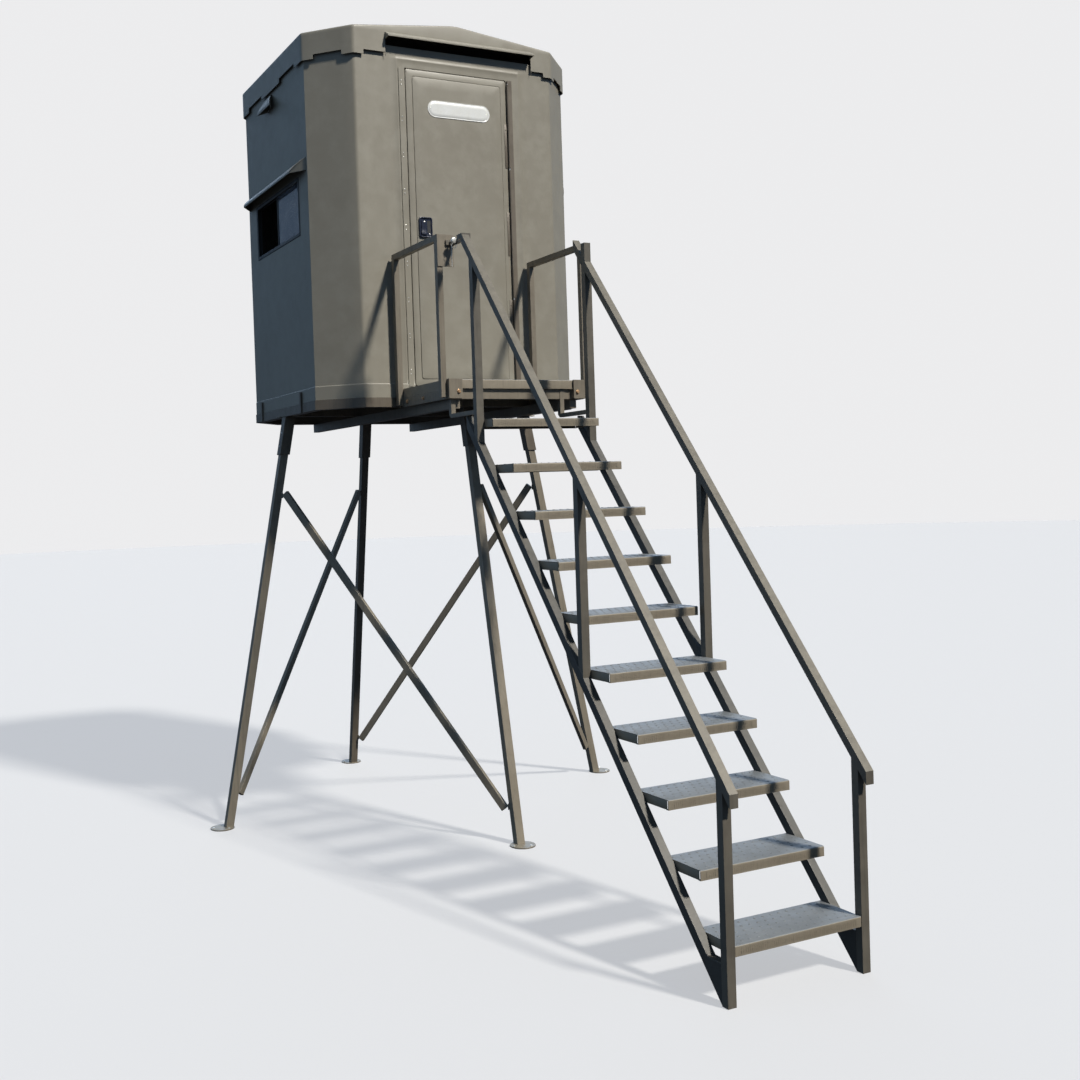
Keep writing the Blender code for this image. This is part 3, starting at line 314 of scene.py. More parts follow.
def tinted_glass(name):
    """Grey tinted pane with dust and a few dried drops."""
    made, tree, shader, place = started(
        name, 0.05, 0.0, Transmission_Weight=0.75, IOR=1.45, Specular_IOR_Level=0.7
    )
    haze = band(tree, noise_at(tree, place, 9.0, 5.0, 0.7), 0.40, 0.85)
    tree.links.new(blend(tree, haze, (0.20, 0.24, 0.30), (0.42, 0.46, 0.50)), shader.inputs["Base Color"])
    drops = band(tree, noise_at(tree, place, 160.0, 3.0, 0.6), 0.62, 0.70, 0.0, 0.35)
    tree.links.new(band(tree, drops, 0.0, 0.35, 0.05, 0.35), shader.inputs["Roughness"])
    tree.links.new(bump(tree, noise_at(tree, place, 3.0, 2.0, 0.5), 0.05, 0.002), shader.inputs["Normal"])
    return made


def plywood(name):
    """Dark sealed plywood: long grain lines and worn patches."""
    made, tree, shader, place = started(name, 0.6)
    grain = noise_at(tree, stretched(tree, place, (3.0, 55.0, 55.0)), 1.0, 6.0, 0.7)
    colour = blend(tree, band(tree, grain, 0.3, 0.7), (0.070, 0.055, 0.038), (0.150, 0.115, 0.075))
    worn = band(tree, noise_at(tree, place, 2.5, 5.0, 0.7), 0.50, 0.75, 0.0, 0.5)
    tree.links.new(blend(tree, worn, colour, (0.11, 0.10, 0.085)), shader.inputs["Base Color"])
    tree.links.new(band(tree, grain, 0.3, 0.7, 0.50, 0.72), shader.inputs["Roughness"])
    tree.links.new(bump(tree, grain, 0.35, 0.0010), shader.inputs["Normal"])
    return made


DUST = (0.34, 0.32, 0.27)
# Tan on steel tops: dust, and partly a painted sheen.
TAN_DUST_AND_SHEEN = (0.225, 0.200, 0.150)
GRIME = (0.050, 0.046, 0.038)
RUST = (0.130, 0.070, 0.038)
SCUFF = (0.30, 0.31, 0.31)

PLASTIC = moulded_plastic(
    "khaki_plastic", (0.262, 0.240, 0.190), (0.300, 0.280, 0.228), (0.225, 0.203, 0.158)
)
STEEL = painted_steel("khaki_steel", (0.180, 0.152, 0.112), (0.225, 0.192, 0.144), (0.130, 0.098, 0.066))
FRAME_STEEL = painted_steel(
    "khaki_frame_steel", (0.130, 0.106, 0.078), (0.165, 0.138, 0.104), (0.095, 0.070, 0.048)
)
# A lighter copy of the frame steel for the legs and braces that face the key: painted light.
PAINTED_LIT_STEEL = painted_steel(
    "khaki_steel_painted_lit", (0.225, 0.192, 0.142), (0.270, 0.232, 0.175), (0.160, 0.122, 0.085)
)
DARK_STEEL = painted_steel(
    "dark_stair_steel", (0.050, 0.048, 0.042), (0.075, 0.070, 0.060), (0.060, 0.046, 0.034), dust_and_sheen=0.25
)
STAIR_STEEL = painted_steel(
    "khaki_stair_steel", (0.108, 0.096, 0.076), (0.145, 0.128, 0.100), (0.085, 0.064, 0.046)
)
TREAD_PAINT = painted_steel(
    "khaki_treads", (0.215, 0.180, 0.130), (0.260, 0.222, 0.165), (0.165, 0.130, 0.090), grime=0.35
)
# Tops of the treads and the deck: a painted reflection of a cool sky, darker as painted shade.
SKY_TINTED_TOPS = sky_tinted_top_paint("sky_tinted_top_coat", (0.150, 0.158, 0.160), (0.205, 0.212, 0.212))
RUBBER = dark_rubber("black_rubber", (0.012, 0.012, 0.012))
CHANNEL = dark_rubber("window_channel", (0.020, 0.021, 0.020))
ZINC = plated_metal("zinc_plate", (0.82, 0.80, 0.74), (0.55, 0.53, 0.48), 0.30)
COPPER = plated_metal("yellow_zinc", (0.72, 0.45, 0.24), (0.45, 0.27, 0.15), 0.34)
LATCH = glossy_black("latch_black", (0.010, 0.012, 0.024), (0.020, 0.024, 0.048))
BADGE = white_badge("blank_badge")
GLASS = tinted_glass("tinted_glass")
PLY = plywood("sealed_plywood")


# Mesh helpers

def new_piece(name, bm, material, body="root", replaces=(), edges=0.0, angle=40.0, thick=0.0):
    """Makes a piece from mesh data in the tower's frame, and puts it on its body."""
    mesh = bpy.data.meshes.new(name)
    bmesh.ops.translate(bm, vec=TOWER, verts=bm.verts)
    bm.to_mesh(mesh)
    bm.free()
    mesh.shade_smooth()
    if not edges:
        mesh.set_sharp_from_angle(angle=math.radians(angle))
    return placed(name, mesh, material, body, replaces, edges, angle, thick)


def placed(name, mesh, material, body="root", replaces=(), edges=0.0, angle=40.0, thick=0.0):
    """Puts a mesh in the scene, on a body unless its name is empty, in place of the CAD nodes it replaces."""
    obj = bpy.data.objects.new(name, mesh)
    bpy.context.scene.collection.objects.link(obj)
    if not mesh.materials:
        mesh.materials.append(material)
    if thick:
        shell = obj.modifiers.new("thickness", "SOLIDIFY")
        shell.thickness = thick
        shell.offset = -1.0
        shell.use_even_offset = True
    if edges:
        rounded(obj, edges, angle)
    if body:
        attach(obj, body)
    if replaces:
        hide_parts(*replaces)
    return obj


def rounded(obj, width, angle=40.0, segments=2, harden=True):
    """Bevels the edges sharper than an angle in degrees."""
    edge = obj.modifiers.new("rounded_edges", "BEVEL")
    edge.width = width
    edge.segments = segments
    edge.limit_method = "ANGLE"
    edge.angle_limit = math.radians(angle)
    edge.harden_normals = harden
    edge.use_clamp_overlap = True


def finish_cad(name, material, width=0.0, segments=2):
    """Gives a CAD node its material and, by modifiers, rounded edges."""
    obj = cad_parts[name]
    mesh = obj.data
    mesh.materials.clear()
    mesh.materials.append(material)
    for stored in ("custom_normal", "sharp_edge"):
        if stored in mesh.attributes:
            mesh.attributes.remove(mesh.attributes[stored])
    mesh.shade_smooth()
    joined = obj.modifiers.new("joined_corners", "WELD")
    joined.merge_threshold = 0.00001
    if not width:
        split = obj.modifiers.new("sharp_edges", "EDGE_SPLIT")
        split.split_angle = math.radians(35)
        split.use_edge_sharp = False
        return
    rounded(obj, width, 30.0, segments, False)
    even = obj.modifiers.new("flat_shading", "WEIGHTED_NORMAL")
    even.weight = 100


def turned(facing):
    return Matrix.Rotation(FACING[facing], 4, "Z")


def loft(bm, loops, wrap=False):
    """Skins a row of equal loops, the first to the last, with caps unless it wraps round."""
    rings = [[bm.verts.new(point) for point in loop] for loop in loops]
    pairs = list(zip(rings, rings[1:]))
    if wrap:
        pairs.append((rings[-1], rings[0]))
    count = len(rings[0])
    for first, second in pairs:
        for index in range(count):
            after = (index + 1) % count
            bm.faces.new((first[index], first[after], second[after], second[index]))
    if not wrap:
        bm.faces.new(list(reversed(rings[0])))
        bm.faces.new(rings[-1])


def outward(bm):
    bmesh.ops.recalc_face_normals(bm, faces=bm.faces)
    return bm


def rounded_box(bm, low, high, radius=0.003):
    """A box with rounded edges, added to a mesh."""
    low, high = Vector(low), Vector(high)
    verts = bmesh.ops.create_cube(bm, size=1.0)["verts"]
    bmesh.ops.scale(bm, vec=high - low, verts=verts)
    bmesh.ops.translate(bm, vec=(low + high) / 2, verts=verts)
    if radius:
        edges = list(dict.fromkeys(edge for vert in verts for edge in vert.link_edges))
        bmesh.ops.bevel(
            bm, geom=edges, offset=radius, segments=2, affect="EDGES", profile=0.5, clamp_overlap=True
        )


def circle(centre, direction, radius, sides, start=0.0):
    direction = Vector(direction).normalized()
    across = direction.orthogonal().normalized()
    up = direction.cross(across)
    return [
        Vector(centre) + radius * (math.cos(start + turn) * across + math.sin(start + turn) * up)
        for turn in (2 * math.pi * index / sides for index in range(sides))
    ]


def turned_profile(bm, base, direction, profile, sides=16):
    """A turned solid: pairs of distance along its axis and radius."""
    direction = Vector(direction).normalized()
    base = Vector(base)
    loft(bm, [circle(base + direction * along, direction, radius, sides) for along, radius in profile])


def bolt(bm, base, direction, size=0.010):
    """A hexagon head with a chamfered top, on a washer."""
    direction = Vector(direction).normalized()
    base = Vector(base)
    washer = [(0.0, size * 1.15), (size * 0.16, size * 1.15), (size * 0.20, size * 1.05)]
    turned_profile(bm, base, direction, washer)
    spin = random.uniform(0.0, math.pi / 3)
    loft(bm, [
        circle(base + direction * (along * size), direction, radius * size, 6, spin)
        for along, radius in ((0.20, 0.90), (0.75, 0.90), (0.86, 0.80))
    ])


def rivet(bm, base, direction, radius):
    """A low domed head."""
    profile = [(0.0, 1.0), (0.25, 0.97), (0.5, 0.78), (0.62, 0.40)]
    turned_profile(bm, base, direction, [(radius * along, radius * wide) for along, wide in profile], 12)


def weld_bead(bm, start, end, radius=0.004, step=0.005):
    """A rippled bead of weld along a line."""
    start, end = Vector(start), Vector(end)
    length = (end - start).length
    count = max(3, int(length / step))
    direction = (end - start).normalized()
    loops = []
    for index in range(count + 1):
        share = index / count
        ripple = 1.0 + 0.22 * math.sin(index * math.pi * 0.98) + random.uniform(-0.08, 0.08)
        ends = 0.35 if index in (0, count) else 1.0
        loops.append(circle(start.lerp(end, share), direction, radius * ripple * ends, 8))
    loft(bm, loops)


def rectangle_loop(left, right, low, high, inset, y, radius, steps=3):
    """A rounded rectangle in X and Z at a depth."""
    left, right, low, high = left + inset, right - inset, low + inset, high - inset
    points = []
    corners = (
        (right - radius, low + radius, -math.pi / 2), (right - radius, high - radius, 0.0),
        (left + radius, high - radius, math.pi / 2), (left + radius, low + radius, math.pi),
    )
    for x, z, start in corners:
        for step in range(steps + 1):
            angle = start + (math.pi / 2) * step / steps
            points.append(Vector((x + radius * math.cos(angle), y, z + radius * math.sin(angle))))
    return points


def panel(bm, sides, rings):
    """Nested rounded rectangles, each with its inset, depth and corner radius."""
    left, right, low, high = sides
    loft(bm, [rectangle_loop(left, right, low, high, *ring) for ring in rings])


def picture_frame(bm, sides, profile):
    """A frame round an opening: a closed profile of insets and depths, swept round it."""
    loft(bm, [rectangle_loop(*sides, inset, y, 0.004, 2) for inset, y in profile], wrap=True)


# Moulded shells

def octagon(inset):
    """The cabin's plan, drawn in by an inset, from its left front corner round to the right."""
    x, y = CABIN_X - inset, CABIN_Y - inset
    slide = CORNER_CUT - inset * (2 - math.sqrt(2))
    return [
        Vector(point) for point in (
            (-x, -y + slide), (-x + slide, -y), (x - slide, -y), (x, -y + slide),
            (x, y - slide), (x - slide, y), (-x + slide, y), (-x, y - slide),
        )
    ]


def plan_points(corners, radius, marks, closed=False):
    """Points along a plan with rounded corners, as (place, outward normal, segment number).

    marks gives, for each segment, distances from its start where a point has to be."""
    count = len(corners)
    segments = count if closed else count - 1
    found = []
    for number in range(segments):
        start, end = corners[number], corners[(number + 1) % count]
        along = (end - start).normalized()
        length = (end - start).length
        normal = Vector((along.y, -along.x))
        first = 0.0 if (not closed and number == 0) else radius
        last = length if (not closed and number == segments - 1) else length - radius
        stops = {round(first, 5), round(last, 5)}
        pieces = max(1, round((last - first) / GRID))
        inner = {round(first + (last - first) * step / pieces, 5) for step in range(1, pieces)}
        wanted = marks.get(number, ())
        stops |= {stop for stop in inner if all(abs(stop - mark) > CLOSE for mark in wanted)}
        stops |= {round(mark, 5) for mark in wanted}
        found += [(start + along * stop, normal, number) for stop in sorted(stops)]
        if closed or number < segments - 1:
            next_along = (corners[(number + 2) % count] - end).normalized()
            next_normal = Vector((next_along.y, -next_along.x))
            for step in range(1, 4):
                share = step / 4
                turn = (normal * (1 - share) + next_normal * share).normalized()
                before, beyond = end - along * radius, end + next_along * radius
                place = before * (1 - share) ** 2 + end * 2 * share * (1 - share) + beyond * share ** 2
                found.append((place, turn, number + 0.5))
    return found


def wave(place, amount):
    """A soft unevenness, as moulded walls have."""
    return amount * noise.noise(Vector(place) * 1.7 + Vector((3.1, 0.4, 7.7)))


def skin(bm, columns, rows, relief, is_open):
    """A wall: a grid of plan points and heights, moved out by a relief, with no faces in its openings."""
    grid = []
    for place, normal, number in columns:
        line = []
        for z in rows:
            out = relief(place, z, number)
            line.append(bm.verts.new((place.x + normal.x * out, place.y + normal.y * out, z)))
        grid.append(line)
    for index, (here, after) in enumerate(zip(grid, grid[1:])):
        middle = (columns[index][0] + columns[index + 1][0]) / 2
        for row in range(len(rows) - 1):
            if not is_open(middle, (rows[row] + rows[row + 1]) / 2, columns[index][2]):
                bm.faces.new((here[row], after[row], after[row + 1], here[row + 1]))
    bmesh.ops.delete(bm, geom=[vert for vert in bm.verts if not vert.link_faces], context="VERTS")


def heights(low, high, marks):
    """Heights of the rows of a wall, with the given marks among them."""
    pieces = round((high - low) / GRID)
    inner = {round(low + (high - low) * step / pieces, 5) for step in range(1, pieces)}
    stops = {stop for stop in inner if all(abs(stop - mark) > CLOSE for mark in marks)}
    stops |= {round(mark, 5) for mark in (low, high, *marks)}
    return sorted(stops)


SKIRT_STEP = 0.004
SKIRT_MARKS = (SKIRT_TOP - SKIRT_STEP, SKIRT_TOP)


def skirt(z):
    """The foot of every wall stands a little proud of the rest."""
    return 0.0 if z <= SKIRT_TOP - SKIRT_STEP + 1e-6 else -0.0035


def end_wall(bm, turn, opening, marks, relief):
    """The front or rear wall with its two cut corners."""
    corners = octagon(0.0)[:4]
    half = corners[2].x
    columns = plan_points(corners, CORNER_R, {1: [half + mark for mark in marks]})
    rows = heights(*WALL_Z, [*SKIRT_MARKS, opening[2], opening[3], *relief[1]])

    def is_open(middle, z, number):
        left, right, low, high = opening
        return number == 1 and left < middle.x < right and low < z < high

    skin(bm, columns, rows, relief[0], is_open)
    bmesh.ops.transform(bm, matrix=turned(turn), verts=bm.verts)


# A low moulded ridge frames the doorway, which runs from beside the latch to the far side of the hinge.
RIDGE_FROM, RIDGE_WIDE, RIDGE_OUT = 0.052, 0.010, 0.0016
DOORWAY = (DOOR_LOW.x - DOOR_PLAY, HINGE_X + 0.036, DOOR_Z[1] + DOOR_PLAY)


def front_relief(place, z, number):
    """Skirt, soft waves, and the ridge round the doorway."""
    out = skirt(z) + wave((place.x, place.y, z), 0.0015)
    if number != 1 or z <= SKIRT_TOP:
        return out
    left, right, top = DOORWAY
    beyond = max(left - place.x, place.x - right, z - top)
    if RIDGE_FROM - 1e-5 < beyond < RIDGE_FROM + RIDGE_WIDE + 1e-5:
        return out + RIDGE_OUT
    return out + 0.0006 if 0.0 < beyond <= RIDGE_FROM + 1e-5 else out


def moulded(name, bm, replaces):
    """Gives a wall's skin its thickness, rounded edges and plastic."""
    new_piece(name, bm, PLASTIC, replaces=replaces, edges=0.003, thick=WALL)


def front_shell():
    """The front wall with its doorway, the jamb behind the door and the seal it shuts on."""
    left, right = DOOR_LOW.x - DOOR_PLAY, DOOR_X[1] + DOOR_PLAY
    opening = (left, right, DOOR_Z[0] - DOOR_PLAY, DOOR_Z[1] + DOOR_PLAY)
    ridge = (RIDGE_FROM - 0.003, RIDGE_FROM, RIDGE_FROM + RIDGE_WIDE, RIDGE_FROM + RIDGE_WIDE + 0.003)
    marks = [left, right] + [DOORWAY[0] - step for step in ridge] + [DOORWAY[1] + step for step in ridge]
    rows = [DOORWAY[2] + step for step in ridge]
    bm = bmesh.new()
    end_wall(bm, "front", opening, marks, (front_relief, rows))
    moulded("front_shell", bm, ["wall_front_shell"])
    bm = bmesh.new()
    y, pocket = -CABIN_Y + WALL + 0.0005, -CABIN_Y + 0.0356
    profile = [(-0.044, y), (0.0, y), (0.0, pocket), (0.020, pocket), (0.020, JAMB_BACK), (-0.044, JAMB_BACK)]
    picture_frame(bm, opening, profile)
    new_piece("door_jamb", outward(bm), PLASTIC, edges=0.002)
    bm = bmesh.new()
    back = pocket - 0.0002
    seal = [(0.0012, back), (0.0125, back), (0.0125, back - 0.0004), (0.0012, back - 0.0004)]
    picture_frame(bm, opening, seal)
    new_piece("door_seal", outward(bm), RUBBER)


def window_relief(place, z, number):
    """Skirt and soft waves."""
    return skirt(z) + wave((place.x + 2.0, place.y - 5.0, z), 0.0015)


def rear_shell():
    opening = (-WINDOW_HALF, WINDOW_HALF, *WINDOW_Z)
    bm = bmesh.new()
    end_wall(bm, "rear", opening, (-WINDOW_HALF, WINDOW_HALF), (window_relief, []))
    moulded("rear_shell", bm, ["wall_rear_shell"])


def side_wall(side):
    half = CABIN_Y - CORNER_CUT - 0.0003
    corners = [Vector((-half, -CABIN_X)), Vector((half, -CABIN_X))]
    columns = plan_points(corners, 0.0, {0: [half - WINDOW_HALF, half + WINDOW_HALF]})
    rows = heights(*WALL_Z, [*SKIRT_MARKS, *WINDOW_Z])

    def is_open(middle, z, number):
        return abs(middle.x) < WINDOW_HALF and WINDOW_Z[0] < z < WINDOW_Z[1]

    bm = bmesh.new()
    skin(bm, columns, rows, window_relief, is_open)
    bmesh.ops.transform(bm, matrix=turned(side), verts=bm.verts)
    moulded(f"{side}_wall", bm, [f"wall_{side}"])


# Half widths at the wall and at the lip, heights of the lip and the root, and reach from the wall.
HOOD_HALF = (0.640, 0.525)
HOOD_Z = (4.560, 4.650)
HOOD_PROUD = 0.085
SCOOP_HALF = (0.035, 0.150)
SCOOP_Z = (5.165, 5.275)
SCOOP_PROUD = 0.055


def eyebrow(name, side, halves, z_range, proud, along=0.0):
    """A moulded hood: a sloping sheet with a rolled lip, closed at its ends, open underneath."""
    reach = REACH[side]
    steps, rows = 24, 8
    lip_z, root_z = z_range
    bm = bmesh.new()
    grid = []
    for step in range(steps + 1):
        share = 2 * step / steps - 1
        line = []
        for row in range(rows + 1):
            drop = row / rows
            half = halves[0] + (halves[1] - halves[0]) * drop
            out = proud * (1 - (1 - drop) ** 1.25) - 0.002
            z = root_z + (lip_z + 0.012 - root_z) * drop ** 1.15
            line.append(bm.verts.new((along + share * half, -(reach + out), z)))
        last = line[-1].co
        line.append(bm.verts.new((last.x, last.y + 0.001, lip_z)))
        grid.append(line)
    for here, after in zip(grid, grid[1:]):
        for row in range(rows + 1):
            bm.faces.new((here[row], here[row + 1], after[row + 1], after[row]))
    for line, flip in ((grid[0], False), (grid[-1], True)):
        foot = bm.verts.new((line[0].co.x, -(reach - 0.002), lip_z))
        loop = [foot] + list(reversed(line))
        bm.faces.new(loop if flip else list(reversed(loop)))
    outward(bm)
    bmesh.ops.transform(bm, matrix=turned(side), verts=bm.verts)
    new_piece(name, bm, PLASTIC, edges=0.0025, angle=35.0, thick=0.006)


def hoods():
    """A hood over each window, and a vent scoop high on the left and right walls."""
    for side in ("left", "right", "rear"):
        eyebrow(f"window_hood_{side}", side, HOOD_HALF, HOOD_Z, HOOD_PROUD)
    for side, along in (("left", -0.065), ("right", 0.065)):
        eyebrow(f"vent_scoop_{side}", side, SCOOP_HALF, SCOOP_Z, SCOOP_PROUD, along)


def window(side):
    """A rubber channel round the window, a slim divider and a finger pull on the sliding pane."""
    y = -REACH[side]
    profile = [
        (0.0, y + 0.0335), (0.0, y + 0.004), (0.003, y + 0.001), (0.022, y + 0.001), (0.026, y + 0.004),
        (0.026, y + 0.009), (0.020, y + 0.0095), (0.020, y + 0.030), (0.026, y + 0.0305), (0.026, y + 0.0335),
    ]
    bm = bmesh.new()
    picture_frame(bm, (-WINDOW_HALF, WINDOW_HALF, *WINDOW_Z), profile)
    bmesh.ops.transform(bm, matrix=turned(side), verts=bm.verts)
    name, replaces = f"window_channel_{side}", [f"window_frame_{side}"]
    new_piece(name, outward(bm), CHANNEL, replaces=replaces, edges=0.0008)
    to_front = -1.0 if side == "right" else 1.0
    fixed_low, fixed_high = span(f"window_pane_fixed_{side}")
    low_z, high_z = fixed_low.z + 0.001, fixed_high.z - 0.001
    bm = bmesh.new()
    left, right = sorted((-0.014 * to_front, 0.002 * to_front))
    rounded_box(bm, (left, y + 0.008, low_z), (right, y + 0.0115, high_z), 0.001)
    bmesh.ops.transform(bm, matrix=turned(side), verts=bm.verts)
    new_piece(f"window_divider_{side}", bm, CHANNEL)
    bm = bmesh.new()
    slide_y = y + 0.0285
    left, right = sorted((-0.012 * to_front, 0.0))
    rounded_box(bm, (left, slide_y, low_z), (right, slide_y + 0.003, high_z), 0.001)
    pull, middle_z = 0.038 * to_front, (low_z + high_z) / 2
    pull_low = (pull - 0.022, slide_y, middle_z - 0.012)
    rounded_box(bm, pull_low, (pull + 0.022, slide_y + 0.006, middle_z + 0.012), 0.002)
    bmesh.ops.transform(bm, matrix=turned(side), verts=bm.verts)
    new_piece(f"window_pull_{side}", bm, CHANNEL, body=f"slider_{side}")


# Roof cap

FRONT_NOTCHES = ((-0.690, BROW_X[0]), (BROW_X[1], 0.700))
REAR_NOTCH = (-0.60, 0.60)
SIDE_NOTCHES = ((-0.52, -0.20), (0.20, 0.52))
CORNER_NOTCH_HALF = 0.105
NOTCH = 0.030
ROOF_GROOVES = 9
# Notches in the cap's lower edge by side of its octagon. The other sides are its cut corners.
NOTCHES = {1: FRONT_NOTCHES, 3: SIDE_NOTCHES, 5: (REAR_NOTCH,), 7: SIDE_NOTCHES}


def roof_height(x, y):
    """The low gable, with shallow drainage grooves that run down from its ridge."""
    shoulder = CABIN_X - CORNER_CUT
    rise = max(0.0, 1.0 - abs(x) / shoulder)
    z = EAVE_Z + (ROOF_HIGH.z - EAVE_Z) * rise
    phase = (y * ROOF_GROOVES / (2 * CAP_Y)) % 1.0
    groove = max(0.0, 1.0 - abs(phase - 0.5) / 0.10)
    inner = min(1.0, max(0.0, (CAP_Y - 0.09 - abs(y)) / 0.05))
    inner *= min(1.0, max(0.0, (CAP_X - 0.14 - abs(x)) / 0.05))
    ridge = min(1.0, abs(x) / 0.08)
    return z - 0.006 * min(1.0, groove * 1.6) * inner * ridge


def lip_height(place, number):
    """The cap's lower edge, which is stepped."""
    side = int(number) if number == int(number) else -1
    value = place.x if side in (1, 5) else place.y
    if any(low < value < high for low, high in NOTCHES.get(side, ())):
        return ROOF_LOW.z + NOTCH
    if side in (0, 2, 4, 6):
        corners = octagon(CABIN_Y - CAP_Y)
        middle = (corners[side] + corners[(side + 1) % 8]) / 2
        if (place - middle).length < CORNER_NOTCH_HALF:
            return ROOF_LOW.z + NOTCH
    return ROOF_LOW.z


def roof_columns():
    """Points round the cap's plan, with a pair at each end of each notch."""
    corners = octagon(CABIN_Y - CAP_Y)
    marks = {}
    for side in range(8):
        start, end = corners[side], corners[(side + 1) % 8]
        middle = (end - start).length / 2
        ends = [middle - CORNER_NOTCH_HALF, middle + CORNER_NOTCH_HALF]
        if side in NOTCHES:
            origin = start.x if side in (1, 5) else start.y
            ends = [abs(value - origin) for notch in NOTCHES[side] for value in notch]
        marks[side] = [place + step for place in ends for step in (-0.001, 0.001)]
    return plan_points(corners, CORNER_R, marks, closed=True)


def roof():
    """The cap as one skin: a stepped lip, a skirt, a rounded eave and the low gable."""
    columns = roof_columns()
    round_r = 0.014
    levels = [ROOF_LOW.z + 0.045, ROOF_LOW.z + 0.075, 5.395, BROW_ROOT, 5.448]
    rows_under_brow = levels.index(BROW_ROOT) + 1
    bm = bmesh.new()
    grid = []
    for place, normal, number in columns:
        eave = roof_height(place.x, CAP_Y + 1.0)
        line = [Vector((place.x, place.y, lip_height(place, number)))]
        line += [Vector((place.x, place.y, level)) for level in levels]
        base = eave - round_r
        for step in range(5):
            angle = (math.pi / 2) * step / 4
            inward = place - normal * (round_r * (1 - math.cos(angle)))
            line.append(Vector((inward.x, inward.y, base + round_r * math.sin(angle))))
        edge = place - normal * round_r
        for step in range(1, 30):
            share = 1 - step / 30
            spot = edge * share
            line.append(Vector((spot.x, spot.y, roof_height(spot.x, spot.y))))
        grid.append([bm.verts.new(point) for point in line])
    top = bm.verts.new((0.0, 0.0, roof_height(0.0, 0.0)))
    count = len(grid)
    brow_low, brow_high = BROW_X[0] + 0.008, BROW_X[1] - 0.008
    for index in range(count):
        after = (index + 1) % count
        middle = (columns[index][0] + columns[after][0]) / 2
        under_brow = columns[index][2] == 1 and brow_low < middle.x < brow_high
        for row in range(len(grid[0]) - 1):
            if not under_brow or row >= rows_under_brow:
                bm.faces.new((grid[index][row], grid[after][row], grid[after][row + 1], grid[index][row + 1]))
        bm.faces.new((grid[index][-1], grid[after][-1], top))
    bmesh.ops.delete(bm, geom=[vert for vert in bm.verts if not vert.link_faces], context="VERTS")
    new_piece(
        "roof_shell", outward(bm), PLASTIC, replaces=["roof_cap"], edges=0.0018, thick=0.005
    )


def brow():
    """The rain brow over the door: a sloping sheet with a lip, and a cheek at each end."""
    face, lip = -CAP_Y, ROOF_LOW.y
    root, shoulder_z = face + 0.003, BROW_TOP - 0.009
    section = [
        (root, BROW_TOP), (face - 0.012, shoulder_z), (lip + 0.006, 5.4215), (lip, 5.4165), (lip, 5.4055),
        (lip + 0.007, 5.4055), (lip + 0.0085, 5.413), (face - 0.010, shoulder_z - 0.0133),
        (root, BROW_ROOT - 0.002),
    ]
    bm = bmesh.new()
    stops = [BROW_X[0] + (BROW_X[1] - BROW_X[0]) * step / 24 for step in range(25)]
    loft(bm, [[Vector((x, y, z)) for y, z in section] for x in stops])
    cheek = [(root, BROW_TOP - 0.002), (lip + 0.002, 5.417), (lip + 0.002, 5.406), (root, 5.402)]
    for x in (BROW_X[0], BROW_X[1] - 0.009):
        loft(bm, [[Vector((spot, y, z)) for y, z in cheek] for spot in (x + 0.0005, x + 0.0085)])
    new_piece("roof_brow", outward(bm), PLASTIC, edges=0.0015)


# Door

KNUCKLES = 7


def door():
    """The leaf: a moulded skin with a groove round a raised field, and its half of the hinge."""
    rim = DOOR_FACE + 0.004
    bm = bmesh.new()
    panel(bm, (*DOOR_X, *DOOR_Z), [
        (0.0120, DOOR_BACK, 0.010), (0.0040, DOOR_BACK - 0.001, 0.012), (0.0, DOOR_BACK - 0.005, 0.014),
        (0.0, rim + 0.006, 0.014), (0.0018, rim + 0.0018, 0.014), (0.0060, rim, 0.013), (0.0440, rim, 0.014),
        (0.0450, rim + 0.0022, 0.014), (0.0475, rim + 0.0022, 0.014), (0.0500, DOOR_FACE + 0.0006, 0.016),
        (0.0520, DOOR_FACE, 0.016), (0.1200, DOOR_FACE, 0.014), (0.2000, DOOR_FACE, 0.014),
    ])
    new_piece("door_skin", outward(bm), PLASTIC, "door", ["door_panel"], angle=24.0)
    bm = bmesh.new()
    low, high = LEAF_LOW.z, LEAF_HIGH.z
    knuckle = (high - low) / KNUCKLES
    for index in range(1, KNUCKLES, 2):
        start, end = low + knuckle * index + 0.001, low + knuckle * (index + 1) - 0.001
        turned_profile(bm, (HINGE_X, HINGE_Y, start), (0, 0, 1), [
            (0.0, 0.0060), (0.0010, 0.0073), (end - start - 0.0010, 0.0073), (end - start, 0.0060),
        ], 20)
        leaf_low = (DOOR_X[1] - 0.022, rim - 0.0026, start)
        rounded_box(bm, leaf_low, (HINGE_X - 0.002, rim - 0.0002, end), 0.0005)
        for share in (0.12, 0.5, 0.88):
            rivet(bm, (DOOR_X[1] - 0.012, rim - 0.0024, start + (end - start) * share), (0, -1, 0), 0.0040)
    new_piece("door_knuckles", outward(bm), FRAME_STEEL, "door")


def jamb_screws():
    """Pairs of screws down the latch side's jamb strip."""
    bm = bmesh.new()
    middle = (TRIM_LOW.x + TRIM_HIGH.x) / 2
    pairs = 9
    for index in range(pairs):
        z = TRIM_LOW.z + 0.10 + (TRIM_HIGH.z - TRIM_LOW.z - 0.20) * index / (pairs - 1)
        for offset in (-0.014, 0.014):
            rivet(bm, (middle, TRIM_LOW.y + 0.0002, z + offset), (0, -1, 0), 0.0042)
    new_piece("jamb_screws", outward(bm), ZINC)


def smaller(low, high, across, up):
    """A box of the same depth about the same middle, narrower and lower."""
    middle = (low + high) / 2
    half = Vector(((high.x - low.x) * across, high.y - low.y, (high.z - low.z) * up)) / 2
    return middle - half, middle + half


